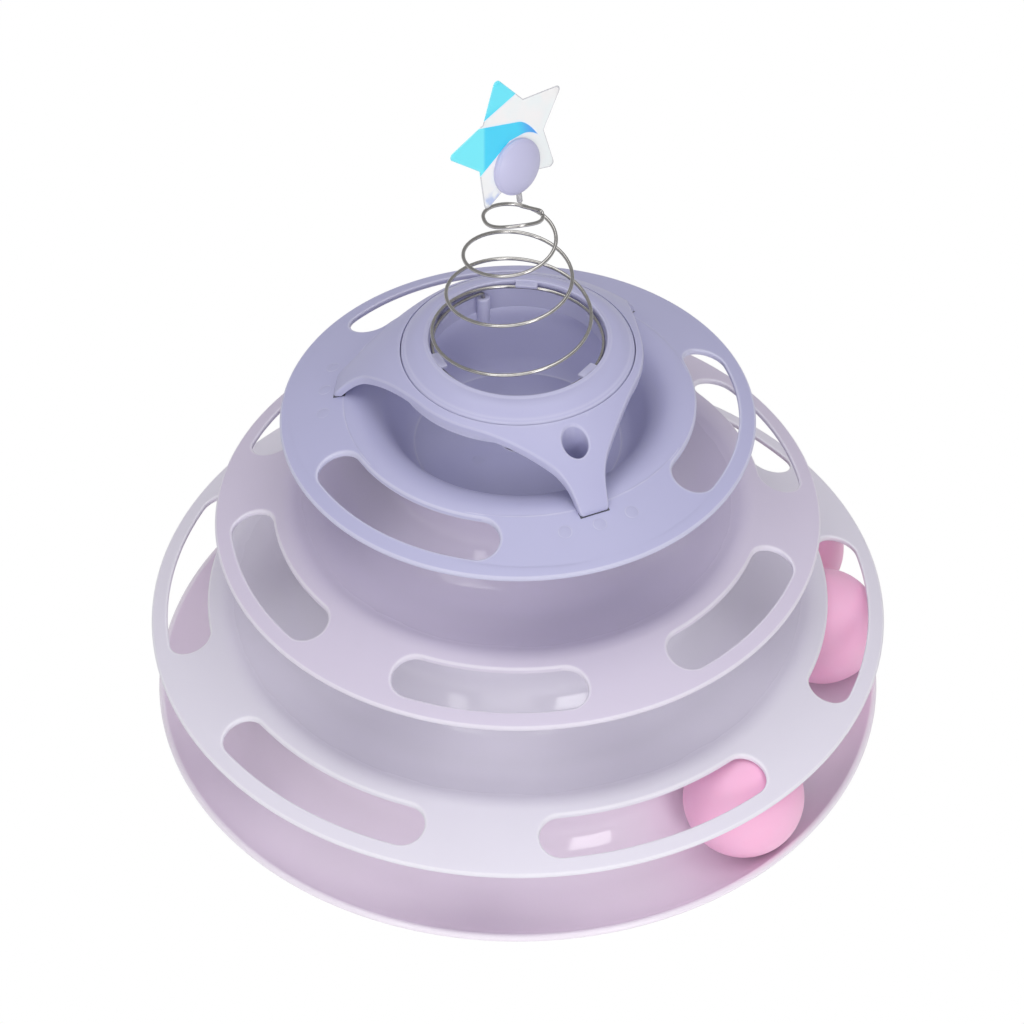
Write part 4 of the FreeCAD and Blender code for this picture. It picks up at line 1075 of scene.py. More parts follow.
@dataclass(frozen=True)
class Balls:
    """The three loose balls: two half shells joined at a faint seam."""

    radius: float = 20.0
    track: float = 105.2
    height: float = 26.05
    angles: tuple[tuple[str, float], ...] = (("front", -39.1), ("middle", 9.2), ("back", 31.4))
    seam_depth: float = 0.07
    seam_width: float = 0.35
    seam_tilt: float = 57.0

    def build(self, place: str, angle: float) -> Piece:
        """Makes one ball: r = radius less a narrow dip where the height is 0 on its own axis.

        Args:
            place: Its name.
            angle: Its angle round the track in degrees.

        Returns:
            The object.
        """
        lift = np.linspace(-math.pi / 2, math.pi / 2, 73)[:, None]
        turn = FULL * np.arange(96) / 96
        radius = self.radius - self.seam_depth * np.exp(-((self.radius * lift / self.seam_width) ** 2))
        ball = raised(polar(radius * np.cos(lift), turn), radius * np.sin(lift))
        tilted = np.roll(spun(np.roll(ball, -1, axis=-1), self.seam_tilt + angle), 1, axis=-1)
        centre = (*polar(self.track, math.radians(angle)), self.height)
        return mesh_object(f"{place}_track_ball", lattice(tilted).at(*centre))


# ---------------------------------------------------------------- cover and spring ring


@dataclass(frozen=True)
class Dome:
    """The sphere that the cover and the ring share."""

    radius: float = 72.0
    centre: float = 94.193

    def height(self, depth: float, distance: Number) -> Number:
        """Height at a depth under the face: centre + root((R - depth) squared - r squared)."""
        return self.centre + np.sqrt((self.radius - depth) ** 2 - np.square(distance))

    def over(self, plan: Array, depth: float = 0.0) -> Array:
        """Height of the sphere over plan points."""
        return self.height(depth, np.linalg.norm(plan, axis=-1))


DOME = Dome()


@dataclass(frozen=True)
class Cover:
    """The three-legged dome. Each leg narrows to a foot, and one holds a round socket.

    The surface is one closed tube: its columns follow the outline in plan and its rows run
    over the dome, round the edge, back below it and through the shelf and the well.
    """

    reach: float = 59.25
    foot_half_width: float = 4.76
    foot_corner: float = 1.2
    leg_corner: tuple[float, float] = (50.99, 6.37)
    leg_fillet: float = 17.0
    flare: float = 46.0
    edge_circle: float = 40.0
    leg_turns: tuple[float, ...] = (-60.0, 60.0, 180.0)
    seam: float = 37.5
    shoulder: float = 39.5
    well: float = 28.9
    well_wall: float = 2.0
    well_foot: float = 148.62
    well_soft: float = 0.4
    shelf_depth: float = 2.3
    shelf_wall: float = 2.0
    wall: float = 2.4
    edge: float = 0.6
    sole_edge: float = 0.45
    top_rows: int = 14
    under_rows: int = 20
    socket_distance: float = 43.7
    socket_radius: float = 4.1
    socket_edge: float = 0.8
    socket_depth: float = 12.4
    socket_columns: int = 14
    socket_rows: int = 8
    sleeve_rows: int = 11
    sleeve_radius: float = 5.0
    cone_foot: float = 127.944
    cone_start: float = 76.245

    @staticmethod
    def bend(before: Array, corner: Array, after: Array, radius: float, steps: int) -> Array:
        """The arc that rounds a corner of the outline.

        Args:
            before: The point before the corner.
            corner: The corner.
            after: The point after it.
            radius: The arc's radius.
            steps: Number of spans.

        Returns:
            The arc's points.
        """
        entry, leave, half = opened(before, corner, after)
        middle = corner + (entry + leave) / np.linalg.norm(entry + leave) * radius / math.sin(half)
        first, last = (corner + way * radius / math.tan(half) - middle for way in (entry, leave))
        start = math.atan2(first[1], first[0])
        sweep = math.atan2(first[0] * last[1] - first[1] * last[0], first @ last)
        return middle + polar(radius, start + np.linspace(0.0, sweep, steps + 1))

    def half_outline(self) -> Array:
        """The outline in plan from the middle of a foot to the middle of the next gap.

        Returns:
            The points, with the leg along +X.
        """
        tip = np.array([self.reach, 0.0])
        foot = np.array([self.reach, self.foot_half_width])
        corner = np.array(self.leg_corner)
        touch = polar(self.edge_circle, math.radians(self.flare))
        toe = self.bend(tip, foot, corner, self.foot_corner, 5)
        fork = self.bend(foot, corner, touch, self.leg_fillet, 10)
        rim = arc((0.0, 0.0), self.edge_circle, self.flare, 60.0, 6)
        return np.concatenate([between(tip, toe[0], 4)[:-1], toe[:-1], between(toe[-1], fork[0], 3)[:-1],
                               fork[:-1], between(fork[-1], touch, 14)[:-1], rim])

    def outline(self) -> tuple[Array, Array]:
        """The whole outline, and for each of its points the angle of its partner on the seam.

        Returns:
            The outline's points and the partners' angles, from the gap before the first leg.
        """
        half = self.half_outline()
        steps = np.linalg.norm(np.diff(half, axis=0), axis=1)
        share = np.concatenate([[0.0], np.cumsum(steps)]) / steps.sum() * math.pi / 3
        leg = np.concatenate([half[:0:-1] * (1.0, -1.0), half[:-1]])
        partner = np.concatenate([-share[:0:-1], share[:-1]])
        partners = partner + np.radians(self.leg_turns)[:, None]
        return np.concatenate([spun(leg, turn) for turn in self.leg_turns]), partners.ravel()

    def sole(self, plan: Array) -> Array:
        """Height of the underside: the inner sphere, or just over the tier's slope at a foot.

        Args:
            plan: Points in plan.

        Returns:
            The heights.
        """
        distance = np.linalg.norm(plan, axis=-1)
        slope = self.cone_foot + (self.cone_start - distance) * math.tan(SLOPE) + 0.1
        return np.maximum(DOME.height(self.wall, distance), slope)

    def shell(self) -> Patch:
        """The dome, its legs, the shelf and the well, with the socket let into one leg.

        Returns:
            The patch.
        """
        outline, partner = self.outline()
        along = np.roll(outline, -1, axis=0) - np.roll(outline, 1, axis=0)
        normal = pairs(along[:, 1], -along[:, 0])
        normal /= np.linalg.norm(normal, axis=1, keepdims=True)
        plan = between(polar(self.seam + 0.3, partner), outline - normal * self.edge, self.top_rows)
        top = raised(plan, DOME.over(plan))
        back, drop = edge_rounding(self.edge)
        plan = outline - normal * back[1:, None, None]
        lip = raised(plan, DOME.over(plan) - drop[1:, None])
        back, drop = edge_rounding(self.sole_edge, 3)
        plan = outline - normal * back[::-1, None, None]
        hem = raised(plan, self.sole(plan) + drop[::-1, None])
        inner = polar(self.shoulder, partner)
        plan = between(inner, outline - normal * self.sole_edge, self.under_rows)[-2::-1]
        under = raised(plan, self.sole(plan))
        section = self.section()
        ring = raised(polar(section[:, :1], partner), section[:, 1:])
        rows = np.concatenate([top, lip, hem, under, ring])
        stop = len(rows) - len(ring) - 1
        start = stop - self.sleeve_rows
        keep = np.ones(rows.shape[:2], bool)
        first, last = self.block_columns()
        keep[: self.socket_rows, first:last] = False
        keep[start:stop, first:last] = False
        return joined([
            lattice(rows, closed_rows=True, keep=keep),
            self.socket(self.block_border(rows, 0, self.socket_rows)),
            self.sleeve(self.block_border(rows, start, stop)),
        ])

    def block_columns(self) -> tuple[int, int]:
        """The first and last of the columns by the first leg's middle that the socket takes up."""
        middle = len(self.half_outline()) - 1
        return middle - self.socket_columns, middle + self.socket_columns

    def block_border(self, rows: Array, start: int, stop: int) -> Array:
        """The border of the block of cells that the socket takes out of some rows.

        Args:
            rows: All rows of the cover.
            start: The block's first row.
            stop: The row where it ends.

        Returns:
            The border's plan points, in order round the block.
        """
        first, last = self.block_columns()
        return np.concatenate([rows[start, first:last], rows[start:stop, last],
                               rows[stop, last:first:-1], rows[stop:start:-1, first]])[:, :2]

    def section(self) -> Array:
        """The rest of the section, from the shoulder through the shelf and well to the seam.

        Returns:
            Points of radius and height.
        """
        shelf, under = self.shelf_depth, self.shelf_depth + self.shelf_wall
        well, foot, soft = self.well, self.well_foot, self.well_soft
        outer = well + self.well_wall
        below = np.linspace(self.shoulder - 0.4, outer, 6)
        above = np.linspace(well + 0.4, self.seam - 0.05, 7)
        crown = DOME.height(0.0, self.seam)
        return np.concatenate([
            [[self.shoulder, DOME.height(under, self.shoulder) + soft]],
            pairs(below, DOME.height(under, below)),
            [[outer, foot + soft], [outer - soft, foot], [well + soft, foot], [well, foot + soft],
             [well, DOME.height(shelf, well) - soft]],
            pairs(above, DOME.height(shelf, above)),
            [[self.seam, DOME.height(shelf, self.seam) + 0.1], [self.seam, crown - 0.3],
             [self.seam + 0.08, crown - 0.1]],
        ])

    @property
    def socket_place(self) -> Array:
        """The socket's axis in plan."""
        return polar(self.socket_distance, math.radians(self.leg_turns[0]))

    @property
    def socket_head(self) -> float:
        """Height of the dome's face at the socket's axis."""
        return DOME.height(0.0, self.socket_distance)

    def rings(self, border: Array, radii: Iterable[float]) -> Array:
        """Rings round the socket's axis, whose points are in line with those of a border.

        Args:
            border: The border's plan points.
            radii: The rings' radii.

        Returns:
            Rows of plan points, one for each ring.
        """
        spoke = border - self.socket_place
        direction = spoke / np.linalg.norm(spoke, axis=1, keepdims=True)
        return self.socket_place + direction * np.array(radii)[:, None, None]

    def socket(self, border: Array) -> Patch:
        """The wand socket: rings from a block of the dome's rows to a round, blind bore.

        Args:
            border: The block's border.

        Returns:
            The patch.
        """
        radius, soft = self.socket_radius, 0.4
        back, drop = edge_rounding(self.socket_edge, 5)
        mouth = self.rings(border, [radius + self.socket_edge])[0]
        plan = np.concatenate([between(border, mouth, 3), self.rings(border, radius + back)])
        fall = np.concatenate([np.zeros(len(plan) - len(drop)), drop])[:, None]
        floor = self.socket_head - self.socket_depth
        levels = np.array([[floor + 8.0], [floor + soft], [floor], [floor]])
        bore = raised(self.rings(border, [radius, radius, radius - soft, 0.0]), levels)
        return lattice(np.concatenate([raised(plan, DOME.over(plan) - fall), bore]))

    def sleeve(self, border: Array) -> Patch:
        """The back of the bore's wall, from a block of the underside down inside the boss.

        Args:
            border: The block's border.

        Returns:
            The patch.
        """
        circles = self.rings(border, [self.sleeve_radius, 0.0])
        plan = between(border, circles[0], 3)
        down = raised(circles, self.socket_head - self.socket_depth - 0.6)
        return lattice(np.concatenate([raised(plan, self.sole(plan)), down]))

    def boss(self) -> Patch:
        """The tube under the leg that backs the socket.

        Returns:
            The closed patch.
        """
        outer, inner, soft = self.socket_radius + 1.9, self.socket_radius + 0.25, 0.4
        foot, skin = self.socket_head - 14.0, 1.3
        head = DOME.height(1.2, self.socket_distance + outer)
        profile = np.array([[0.0, foot], [outer - soft, foot], [outer, foot + soft], [outer, head],
                            [inner, head], [inner, foot + skin], [0.0, foot + skin]])
        return revolved(profile, 48).at(*self.socket_place)

    def post(self) -> Patch:
        """The post in the well that takes the spring's bent end, with its small bore.

        Returns:
            The closed patch.
        """
        radius, bore, head, foot = 2.2, 0.62, 155.86, 146.86
        floor, soft = head - 6.0, 0.15
        back, drop = edge_rounding(0.4, 3)
        profile = np.concatenate([
            [[0.0, foot], [radius, foot]],
            pairs(radius - back, head - drop)[::-1],
            [[bore + soft, head], [bore, head - soft], [bore, floor], [0.0, floor]],
        ])
        place = polar(math.hypot(27.3, 2.0), math.radians(120.0))
        return revolved(profile, 36).at(*place)

    def ledges(self) -> Patch:
        """Three small ledges inside the well that the spring's flat coil lies on.

        Returns:
            The patches in one.
        """
        head, high = 156.85, 1.4
        ledge = block(1.6, 2.25, head - high, head, 0.25, 0.4).at(self.well - 0.6, 0.0)
        return ledge.around((36.0, 156.0, 276.0))

    def tabs(self) -> Patch:
        """The hooked tab under each foot, which passes through the top tier.

        Returns:
            The patches in one.
        """
        near, far, hook, half = 56.15, 58.05, 0.9, 2.5
        head, foot, catch = 134.5, 128.4, 130.6
        outline = np.array([[near, head], [far, head], [far, catch], [far + hook, catch],
                            [far, foot], [near, foot]])
        middle = outline * 0 + ((near + far) / 2, (head + foot) / 2)
        across, up = np.moveaxis(np.stack([middle, outline, outline, middle]), -1, 0)
        level = np.array([[-half], [-half], [half], [half]])
        return lattice(np.stack([across, level + up * 0, up], axis=-1)).around(self.leg_turns)

    def build(self) -> Piece:
        """Makes the cover."""
        parts = [self.shell(), self.boss(), self.post(), self.ledges(), self.tabs()]
        return mesh_object("three_legged_cover", joined(parts))


@dataclass(frozen=True)
class SpringRing:
    """The ring round the mouth of the dome, with three tabs over the spring's coil."""

    opening: float = 28.3
    rim: float = 37.25
    thick: float = 2.2
    edge: float = 0.8
    bulge: float = 0.7
    tab_turns: tuple[float, ...] = (90.0, 210.0, 330.0)
    tab_drop: float = 0.55
    tab_thick: float = 1.0
    tab_inset: float = 0.7

    def build(self) -> Piece:
        """Makes the ring: its face stands over the dome's sphere by half a sine wave.

        Returns:
            The object.
        """
        back, drop = edge_rounding(self.edge)
        inner, outer = self.opening + back, self.rim - back
        face = np.linspace(self.opening + self.edge, self.rim - self.edge, 14)[1:-1]
        swell = self.bulge * np.sin(math.pi * (face - face[0]) / (face[-1] - face[0]))
        profile = np.concatenate([
            pairs(inner, DOME.height(0.0, inner) - drop)[::-1],
            pairs(face, DOME.height(0.0, face) + swell),
            pairs(outer, DOME.height(0.0, outer) - drop),
            pairs(outer, DOME.height(self.thick, outer) + drop * 0.4)[::-1],
            pairs(face, DOME.height(self.thick, face))[::-1],
            pairs(inner, DOME.height(self.thick, inner) + drop),
        ])
        head = DOME.height(0.0, self.opening) - self.tab_drop
        tab = block(1.9, 3.6, head - self.tab_thick, head, 0.25, 0.5).at(self.opening - self.tab_inset, 0.0)
        parts = [revolved(profile, 216, closed=True), tab.around(self.tab_turns)]
        return mesh_object("spring_ring", joined(parts))


# ---------------------------------------------------------------- spring and ornament


@dataclass(frozen=True)
class Stem:
    """Where the spring ends, and the direction in which the ornament stands."""

    foot: Triple = (1.0, -1.9, 213.4)
    turn: float = 48.5
    tilt: float = 9.0
    rise: float = 14.07

    @property
    def frame(self) -> Array:
        """Rows: across the disc, up it, and out of its face."""
        turn, tilt = math.radians(self.turn), math.radians(self.tilt)
        across = np.array([math.cos(turn), math.sin(turn), 0.0])
        back = math.sin(tilt)
        up = np.array([-math.sin(turn) * back, math.cos(turn) * back, math.cos(tilt)])
        return np.stack([across, up, np.cross(across, up)])

    def point(self, along: float) -> Array:
        """The point at a distance up the stem."""
        return np.array(self.foot) + self.frame[1] * along

    def stand(self, points: Array, quads: Array, along: float) -> Patch:
        """Places a patch made about its own axes, x across, y up and z out of the face.

        Args:
            points: The patch's points.
            quads: Its faces.
            along: How far up the stem its origin lies.

        Returns:
            The new patch.
        """
        return Patch(points @ self.frame + self.point(along), quads)


STEM = Stem()


@dataclass(frozen=True)
class Spring:
    """The conical spring: a flat coil, a cone that climbs at an even pitch, a closing coil.

    It bows to one side by half a sine wave, and its closing coil swells upwards in front.
    """

    wire: float = 0.6
    coil: float = 27.3
    start_height: float = 157.6
    start_turn: float = 120.0
    lead: float = 2.0
    flat_turns: float = 0.92
    flat_rise: float = 0.6
    straight_turns: float = 0.17
    cone_turns: float = 3.1
    cone_end: float = 9.9
    pitch: float = 15.44
    closing_turns: float = 0.5
    closing_end: float = 8.2
    closing_rise: float = 0.5
    closing_lead: float = 1.4
    lean: tuple[float, float] = (-0.5, -1.3)
    bow: float = -1.1
    closing_swell: float = 3.2
    bend: float = 1.1
    end_length: float = 5.0
    stem_length: float = 8.0
    sway_height: float = 185.0

    def centre_line(self) -> Array:
        """The coils' centre line. The radius and the climb are ramps of the turns made.

        Returns:
            The points.
        """
        flat = self.flat_turns
        cone_start = flat + self.straight_turns
        cone_end = cone_start + self.cone_turns
        turn = np.linspace(0.0, cone_end + self.closing_turns, 260)
        cone = np.clip((turn - cone_start) / self.cone_turns, 0.0, 1.0)
        closing = np.clip((turn - cone_end) / self.closing_turns, 0.0, 1.0)
        radius = self.coil + cone * (self.cone_end - self.coil)
        radius += closing * (self.closing_end - self.cone_end)
        rise = self.flat_rise * np.clip(turn / flat, 0.0, 1.0)
        rise += self.pitch * (np.clip(turn, flat, cone_end) - flat)
        lean = rise / (self.pitch * (cone_end - flat))
        rise += self.closing_rise * closing + self.closing_swell * np.sin(math.pi * closing) ** 2
        angle = math.radians(self.start_turn) + math.atan2(self.lead, self.coil) + FULL * turn
        shift = pairs(lean * self.lean[0] + self.bow * np.sin(math.pi * lean), lean * self.lean[1])
        return raised(polar(radius, angle) + shift, self.start_height + rise)

    def rounded(self, before: Array, corner: Array, after: Array) -> Array:
        """A bend of the wire's bending radius at a corner.

        Args:
            before: A point on the run before.
            corner: The corner.
            after: A point on the run after.

        Returns:
            Points on a smooth curve between the two runs.
        """
        entry, leave, half = opened(before, corner, after)
        reach = self.bend / math.tan(half)
        first, last = corner + entry * reach, corner + leave * reach
        share = np.linspace(0.0, 1.0, 9)[:, None]
        return first * (1 - share) ** 2 + corner * 2 * share * (1 - share) + last * share**2

    def path(self) -> Array:
        """The whole centre line, from the end in the post to the end in the ferrule.

        Returns:
            The points.
        """
        coils = self.centre_line()
        set_off = coils[1] - coils[0]
        radial = coils[0] * (1.0, 1.0, 0.0)
        radial /= np.linalg.norm(radial)
        set_off -= radial * (set_off @ radial)
        corner = coils[0] - set_off / np.linalg.norm(set_off) * self.lead
        end = corner - np.array([0.0, 0.0, self.bend + self.end_length])
        heading = coils[-1] - coils[-2]
        lead = coils[-1] + heading / np.linalg.norm(heading) * self.closing_lead
        foot, tip = STEM.point(0.0), STEM.point(self.stem_length)
        return np.concatenate([
            [end], self.rounded(end, corner, coils[0]), coils,
            self.rounded(coils[-1], lead, foot), self.rounded(lead, foot, tip), [tip],
        ])

    def tube(self, name: str, path: Array) -> Piece:
        """Makes round wire along a path.

        Args:
            name: The piece's name.
            path: The centre line's points.

        Returns:
            The object.
        """
        curve = bpy.data.curves.new(name, "CURVE")
        curve.dimensions = "3D"
        curve.bevel_depth = self.wire * MM
        curve.bevel_resolution = 4
        curve.use_fill_caps = True
        spline = curve.splines.new("POLY")
        spline.points.add(len(path) - 1)
        spline.points.foreach_set("co", raised(path * MM, 1.0).ravel())
        guide = bpy.data.objects.new(name + "_line", curve)
        mesh = bpy.data.meshes.new_from_object(guide)
        mesh.name = name
        mesh.polygons.foreach_set("use_smooth", [True] * len(mesh.polygons))
        bpy.data.objects.remove(guide)
        bpy.data.curves.remove(curve)
        LOG.info("%s: %d faces", name, len(mesh.polygons))
        return linked(name, mesh)

    def build(self) -> tuple[Piece, Piece]:
        """Makes the wire in two pieces that meet where the ornament's sway begins.

        Returns:
            The lower and the upper piece.
        """
        path = self.path()
        split = int(np.argmax(path[:, 2] > self.sway_height))
        return (self.tube("spring_lower_coils", path[: split + 1]),
                self.tube("spring_upper_coils", path[split:]))


@dataclass(frozen=True)
class Ornament:
    """The domed disc on the spring's end, in two shells, with a star between them."""

    radius: float = 9.0
    side: float = 1.4
    dome: float = 2.6
    shell_edge: float = 0.45
    shell_gap: float = 0.02
    film: float = 0.3
    star_tip: float = 23.4
    star_notch: float = 13.1
    star_stretch: tuple[float, float] = (1.07, 0.955)
    tip_rounding: float = 1.4
    star_side: float = -1.2
    star_rise: float = 9.6
    star_roll: float = 5.5
    star_tips: int = 5
    star_rows: int = 12
    chart_unit: float = 10.0
    ferrule: tuple[float, float, float, float] = (0.55, 0.9, 1.35, 1.2)
    ferrule_start: float = 1.6
    ferrule_end: float = 8.6
    ferrule_soft: float = 0.12

    def shell(self, name: str, side: int) -> Piece:
        """Makes one shell: a short side, a rounded edge and a face that is part of a sphere.

        Args:
            name: The piece's name.
            side: 1 for the front and -1 for the back.

        Returns:
            The object.
        """
        ball = (self.radius**2 + self.dome**2) / (2 * self.dome)
        share = np.linspace(0.0, self.radius - self.shell_edge, 14)
        base = self.film / 2 + self.shell_gap
        half = revolved(np.concatenate([
            pairs(share, self.side + self.dome - ball + np.sqrt(ball**2 - share**2)),
            arc((self.radius - self.shell_edge, self.side - 0.38), self.shell_edge, 80.0, 0.0, 4),
            [[self.radius, base], [0.0, base]],
        ]), 72)
        return mesh_object(name, STEM.stand(half.points * (1, 1, side), half.quads, STEM.rise))

    def star_outline(self, inset: float) -> Array:
        """The star's outline: five points, each with a small round tip.

        Args:
            inset: How far the whole outline is drawn in.

        Returns:
            The points about the star's own middle.
        """
        notch = polar(self.star_notch, math.pi / self.star_tips)
        half_point = math.atan2(notch[1], self.star_tip - notch[0])
        reach = self.tip_rounding / math.tan(half_point)
        near = np.array([self.star_tip, 0.0]) - polar(reach, -half_point)
        centre = self.star_tip - self.tip_rounding / math.sin(half_point)
        swing = 90.0 - math.degrees(half_point)
        point = np.concatenate([
            between(notch * (1, -1), near * (1, -1), 9)[:-1],
            arc((centre, 0.0), self.tip_rounding, -swing, swing, 8)[:-1],
            between(near, notch, 9)[:-1],
        ])
        turns = evenly(self.star_tips, 90.0 + self.star_roll)
        outline = np.concatenate([spun(point, turn) for turn in turns])
        return outline * (1 - inset / self.star_notch) * self.star_stretch

    def star(self) -> Piece:
        """Makes the film star: two faces with rows from its middle out, joined by a soft edge.

        Returns:
            The object, with a UV map in units of ten millimetres from the star's middle and
            an attribute that rises from 0 in the middle to 1 at the edge.
        """
        edge, half, count = self.film * 0.4, self.film / 2, self.star_rows
        outline = self.star_outline(0.0)[None]
        face = self.star_outline(edge) * np.linspace(0.0, 1.0, count)[:, None, None]
        level = np.concatenate([np.full(count, half), [half - edge, edge - half], np.full(count, -half)])
        rows = raised(np.concatenate([face, outline, outline, face[::-1]]), level[:, None])
        sheet = lattice(rows).at(self.star_side, self.star_rise)
        made = mesh_object("film_star", STEM.stand(sheet.points, sheet.quads, STEM.rise))
        self.chart(made.data)
        return made

    def chart(self, mesh: bpy.types.Mesh) -> None:
        """Writes the star's UV map, and how near each corner of its faces is to its edge.

        Args:
            mesh: The star's mesh.
        """
        local = (read(mesh.vertices, "co", 3) / MM - STEM.point(STEM.rise)) @ STEM.frame.T
        local -= (self.star_side, self.star_rise, 0.0)
        plan = local[read(mesh.loops, "vertex_index", 1, np.int64), :2]
        mesh.uv_layers.new(name="UVMap").data.foreach_set("uv", (plan / self.chart_unit).ravel())
        x, y = (read(mesh.uv_layers["UVMap"].data, "uv", 2) * self.chart_unit).T
        across, up = self.star_outline(0.0).T
        turn = np.arctan2(up, across)
        order = np.argsort(turn)
        here = np.interp(np.arctan2(y, x), turn[order], np.hypot(across, up)[order], period=FULL)
        border = mesh.attributes.new("border", "FLOAT", "CORNER")
        border.data.foreach_set("value", np.minimum(np.hypot(x, y) / here, 1.0))

    def ferrule_piece(self) -> Piece:
        """Makes the headed sleeve on the wire's end.

        Returns:
            The object.
        """
        bore, radius, head, head_length = self.ferrule
        start, end, soft = self.ferrule_start, self.ferrule_end, self.ferrule_soft
        neck = end - head_length
        sleeve = revolved(np.array([
            [bore, start], [radius - soft, start], [radius, start + soft], [radius, neck],
            [head - soft, neck], [head, neck + soft], [head, end - soft], [head - soft, end], [bore, end],
        ]), 40, closed=True)
        upright = sleeve.points[:, [0, 2, 1]] * (1, 1, -1)
        return mesh_object("clear_ferrule", STEM.stand(upright, sleeve.quads, 0.0))


# ---------------------------------------------------------------- studio


@dataclass(frozen=True)
class Camera:
    """The photograph's camera. Its azimuth is measured from straight in front."""

    azimuth: float = 6.0
    elevation: float = 45.197
    distance: float = 1213.3
    aim_height: float = 8.4
    focal_pixels: float = 3490.0
    image_pixels: float = 1024.0
    centre_x: float = 517.83
    centre_y: float = 673.99

    def build(self) -> None:
        """Makes the camera and gives it to the scene."""
        turn, rise = math.radians(self.azimuth), math.radians(self.elevation)
        level = self.distance * math.cos(rise)
        place = Vector((level * math.sin(turn), -level * math.cos(turn),
                        self.distance * math.sin(rise) + self.aim_height)) * MM
        lens = bpy.data.cameras.new("studio_camera")
        lens.sensor_width = 36.0
        lens.lens = self.focal_pixels / self.image_pixels * lens.sensor_width
        lens.shift_x = (self.image_pixels / 2 - self.centre_x) / self.image_pixels
        lens.shift_y = (self.centre_y - self.image_pixels / 2) / self.image_pixels
        lens.clip_end = 20.0
        aim = Vector((0.0, 0.0, self.aim_height * MM))
        bpy.context.scene.camera = aimed("studio_camera", lens, place, aim)


@dataclass(frozen=True)
class SoftLight:
    """One soft box that faces a point above the floor. It is square where no height is given."""

    name: str
    place: Triple
    size: float
    power: float
    height: float = 0.0
    aim: Triple = (0.0, 0.0, 0.08)

    def build(self) -> None:
        """Makes the light."""
        data = bpy.data.lights.new(self.name, "AREA")
        data.shape = "RECTANGLE"
        data.size = self.size
        data.size_y = self.height or self.size
        data.energy = self.power
        aimed(self.name, data, Vector(self.place), Vector(self.aim))


LIGHTS = (
    SoftLight("top_box", (0.0, 0.1, 1.5), 1.2, 6.9),
    SoftLight("left_key", (-0.57, -0.41, 1.32), 0.6, 1.4),
    SoftLight("right_key", (0.57, -0.41, 1.32), 0.6, 1.4),
    SoftLight("front_box", (0.0, -1.3, 1.1), 1.0, 2.2),
    SoftLight("low_box", (0.0, -1.5, 0.35), 0.7, 1.6),
    SoftLight("right_box", (0.84, -1.24, 0.56), 0.42, 4.6, 0.62),
    SoftLight("left_box", (-0.66, -1.36, 0.76), 0.28, 2.6, 1.0),
)


@dataclass(frozen=True)
class Studio:
    """A plain pale floor, an even surround and soft boxes."""

    floor_half: float = 3.0
    floor_height: float = -0.02
    surround: float = 0.38

    @staticmethod
    def white_to_camera(tree: bpy.types.NodeTree, lit: Socket, kind: str, target: Socket) -> None:
        """Shows plain white to the camera, and what is lit to everything else.

        Args:
            tree: The nodes of the floor or of the surround.
            lit: What the light meets.
            kind: The type of node that gives white.
            target: The output's socket.
        """
        white = tree.nodes.new(kind)
        white.inputs["Color"].default_value = (1.0, 1.0, 1.0, 1.0)
        ray = tree.nodes.new("ShaderNodeLightPath").outputs["Is Camera Ray"]
        mix = tree.nodes.new("ShaderNodeMixShader")
        for source, entry in zip((ray, lit, white.outputs[0]), mix.inputs):
            tree.links.new(source, entry)
        tree.links.new(mix.outputs[0], target)

    def floor(self) -> None:
        """Makes the floor, a sheet of white card."""
        share = np.linspace(-self.floor_half / MM, self.floor_half / MM, 9)
        sheet = raised(np.stack(np.meshgrid(share, share), -1), self.floor_height)
        floor = mesh_object("studio_floor", lattice(sheet, closed_columns=False))
        shader = Shader("studio_paper")
        tint = shader.ramp(shader.noise(3.0), 0.3, 0.7)
        floor.data.materials.append(shader.finished({
            "Base Color": shader.blend(tint, (0.9, 0.9, 0.9), (0.93, 0.93, 0.93)), "Roughness": 0.9,
            "Specular IOR Level": 0.1,
        }))
        target = next(node for node in shader.tree.nodes if node.type == "OUTPUT_MATERIAL").inputs["Surface"]
        self.white_to_camera(shader.tree, shader.surface.outputs[0], "ShaderNodeEmission", target)

    def world(self) -> None:
        """Lights the scene evenly from all round, and shows white behind the object."""
        world = bpy.data.worlds.new("studio_surround")
        bpy.context.scene.world = world
        world.use_nodes = True
        surround = world.node_tree.nodes["Background"]
        surround.inputs["Color"].default_value = (1.0, 1.0, 1.0, 1.0)
        surround.inputs["Strength"].default_value = self.surround
        target = world.node_tree.nodes["World Output"].inputs["Surface"]
        self.white_to_camera(world.node_tree, surround.outputs[0], "ShaderNodeBackground", target)

    def build(self) -> None:
        """Sets up floor, surround, lights and camera."""
        self.floor()
        self.world()
        for light in LIGHTS:
            light.build()
        Camera().build()
        bpy.context.scene.view_settings.view_transform = "Standard"


# ---------------------------------------------------------------- the toy


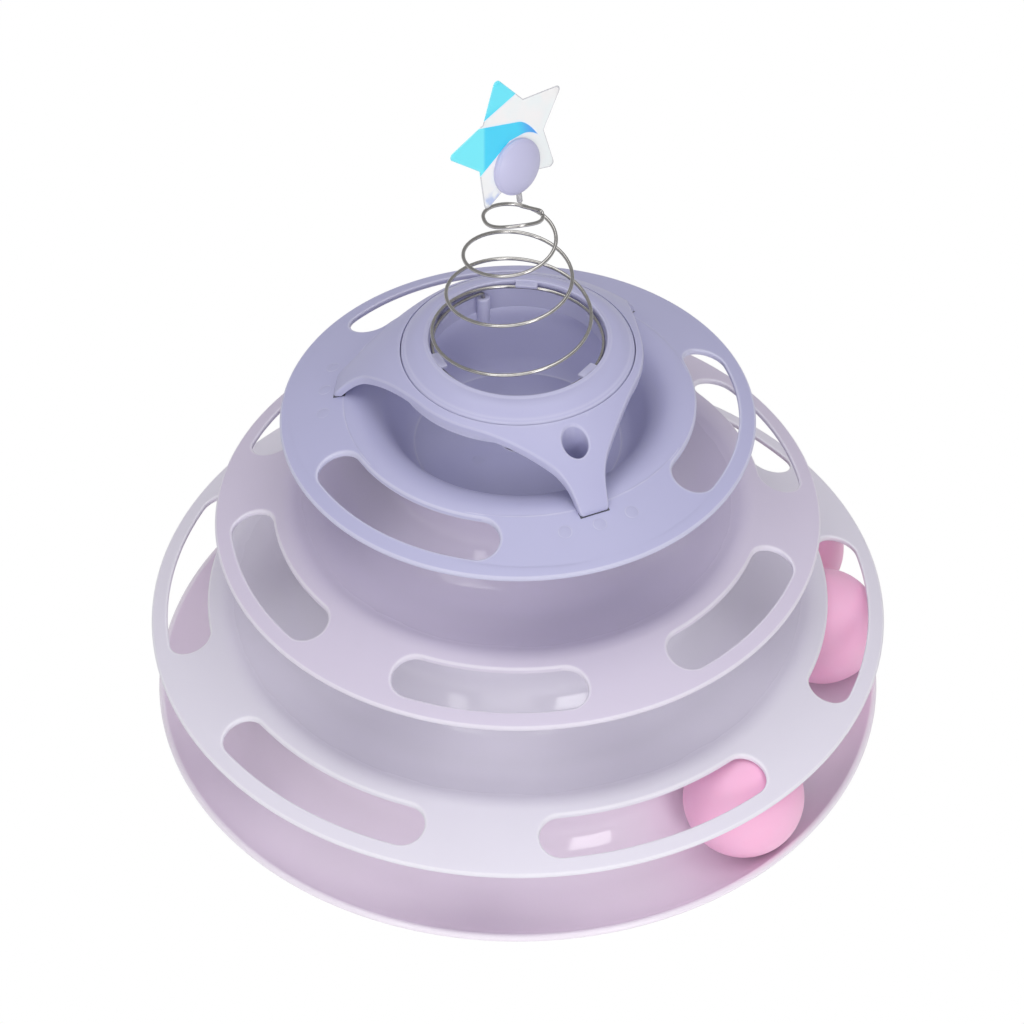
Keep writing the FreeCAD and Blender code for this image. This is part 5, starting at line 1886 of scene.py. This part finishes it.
@dataclass(frozen=True)
class Toy:
    """The whole toy: its stack of tiers and what stands on it."""

    base: Base = Base()
    lower: TrackTier = TrackTier("lower_umbrella", Umbrella(124.4, 42.6, 41.0, 6, 0.0),
                                 60.0, 87.48, 83.0, 2.4, 45.33)
    middle: TrackTier = TrackTier("middle_umbrella", Umbrella(100.4, 84.75, 41.0, 6, 30.0),
                                  36.5, 113.9, 60.0, 2.2, 87.48)
    top: TopTier = TopTier(Umbrella(77.0, 126.9, 62.0, 3, 0.0))
    balls: Balls = Balls()

    def build(self, dresser: Dresser) -> None:
        """Makes and dresses every piece.

        Args:
            dresser: Gives the pieces their finishes and bodies.
        """
        dresser.dress(self.base.build(), LILAC, Slot.BASE, "base_tray", "base")
        for index, pad in enumerate(self.base.pads(), 1):
            dresser.dress(pad, PAD_RUBBER, Slot.RUBBER, f"foot_pad_{index}", "base")
        dresser.dress(self.lower.build(), ICE, Slot.ICE, "lower_tier", "lower")
        dresser.dress(self.middle.build(), MAUVE, Slot.MAUVE, "middle_tier", "middle")
        dresser.dress(self.top.build(), LAVENDER, Slot.LAVENDER, "top_tier", "top")
        dresser.dress(Cover().build(), COVER_SKIN, Slot.LAVENDER, "tripod_cover", "top")
        dresser.dress(SpringRing().build(), COVER_SKIN, Slot.LAVENDER, "spring_retaining_ring", "top")
        self.spring(dresser)
        self.ornament(dresser)
        for place, angle in self.balls.angles:
            ball = self.balls.build(place, angle)
            dresser.dress(ball, MATT_BALL, Slot.BALL, f"ball_{place}", f"{place}_ball")

    def spring(self, dresser: Dresser) -> None:
        """Makes the spring's two pieces, which are attached to no body.

        Args:
            dresser: Gives the pieces their finishes.
        """
        spring = Spring()
        lower, upper = spring.build()
        for piece in (lower, upper):
            dresser.dress(piece, DRAWN_STEEL, Slot.STEEL, "spring", None)
        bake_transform(lower)
        STEM.foot[2] * MM
        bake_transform(upper)

    def ornament(self, dresser: Dresser) -> None:
        """Makes the ferrule, the two shells and the star.

        Args:
            dresser: Gives the pieces their finishes and bodies.
        """
        ornament = Ornament()
        dresser.dress(ornament.ferrule_piece(), CLEAR_SLEEVE, Slot.FERRULE, "spring_ferrule", "tip")
        for place, side in (("front", 1), ("back", -1)):
            shell = ornament.shell(f"disc_{place}", side)
            dresser.dress(shell, DISC_SKIN, Slot.LAVENDER, f"ornament_{place}_shell", "ornament")
        dresser.dress(ornament.star(), StarFilm(), Slot.FILM, "star", "ornament")


def main() -> None:
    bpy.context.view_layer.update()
    Studio().build()
    Toy().build(Dresser())
    bpy.context.view_layer.update()


if __name__ == "__main__":
    main()
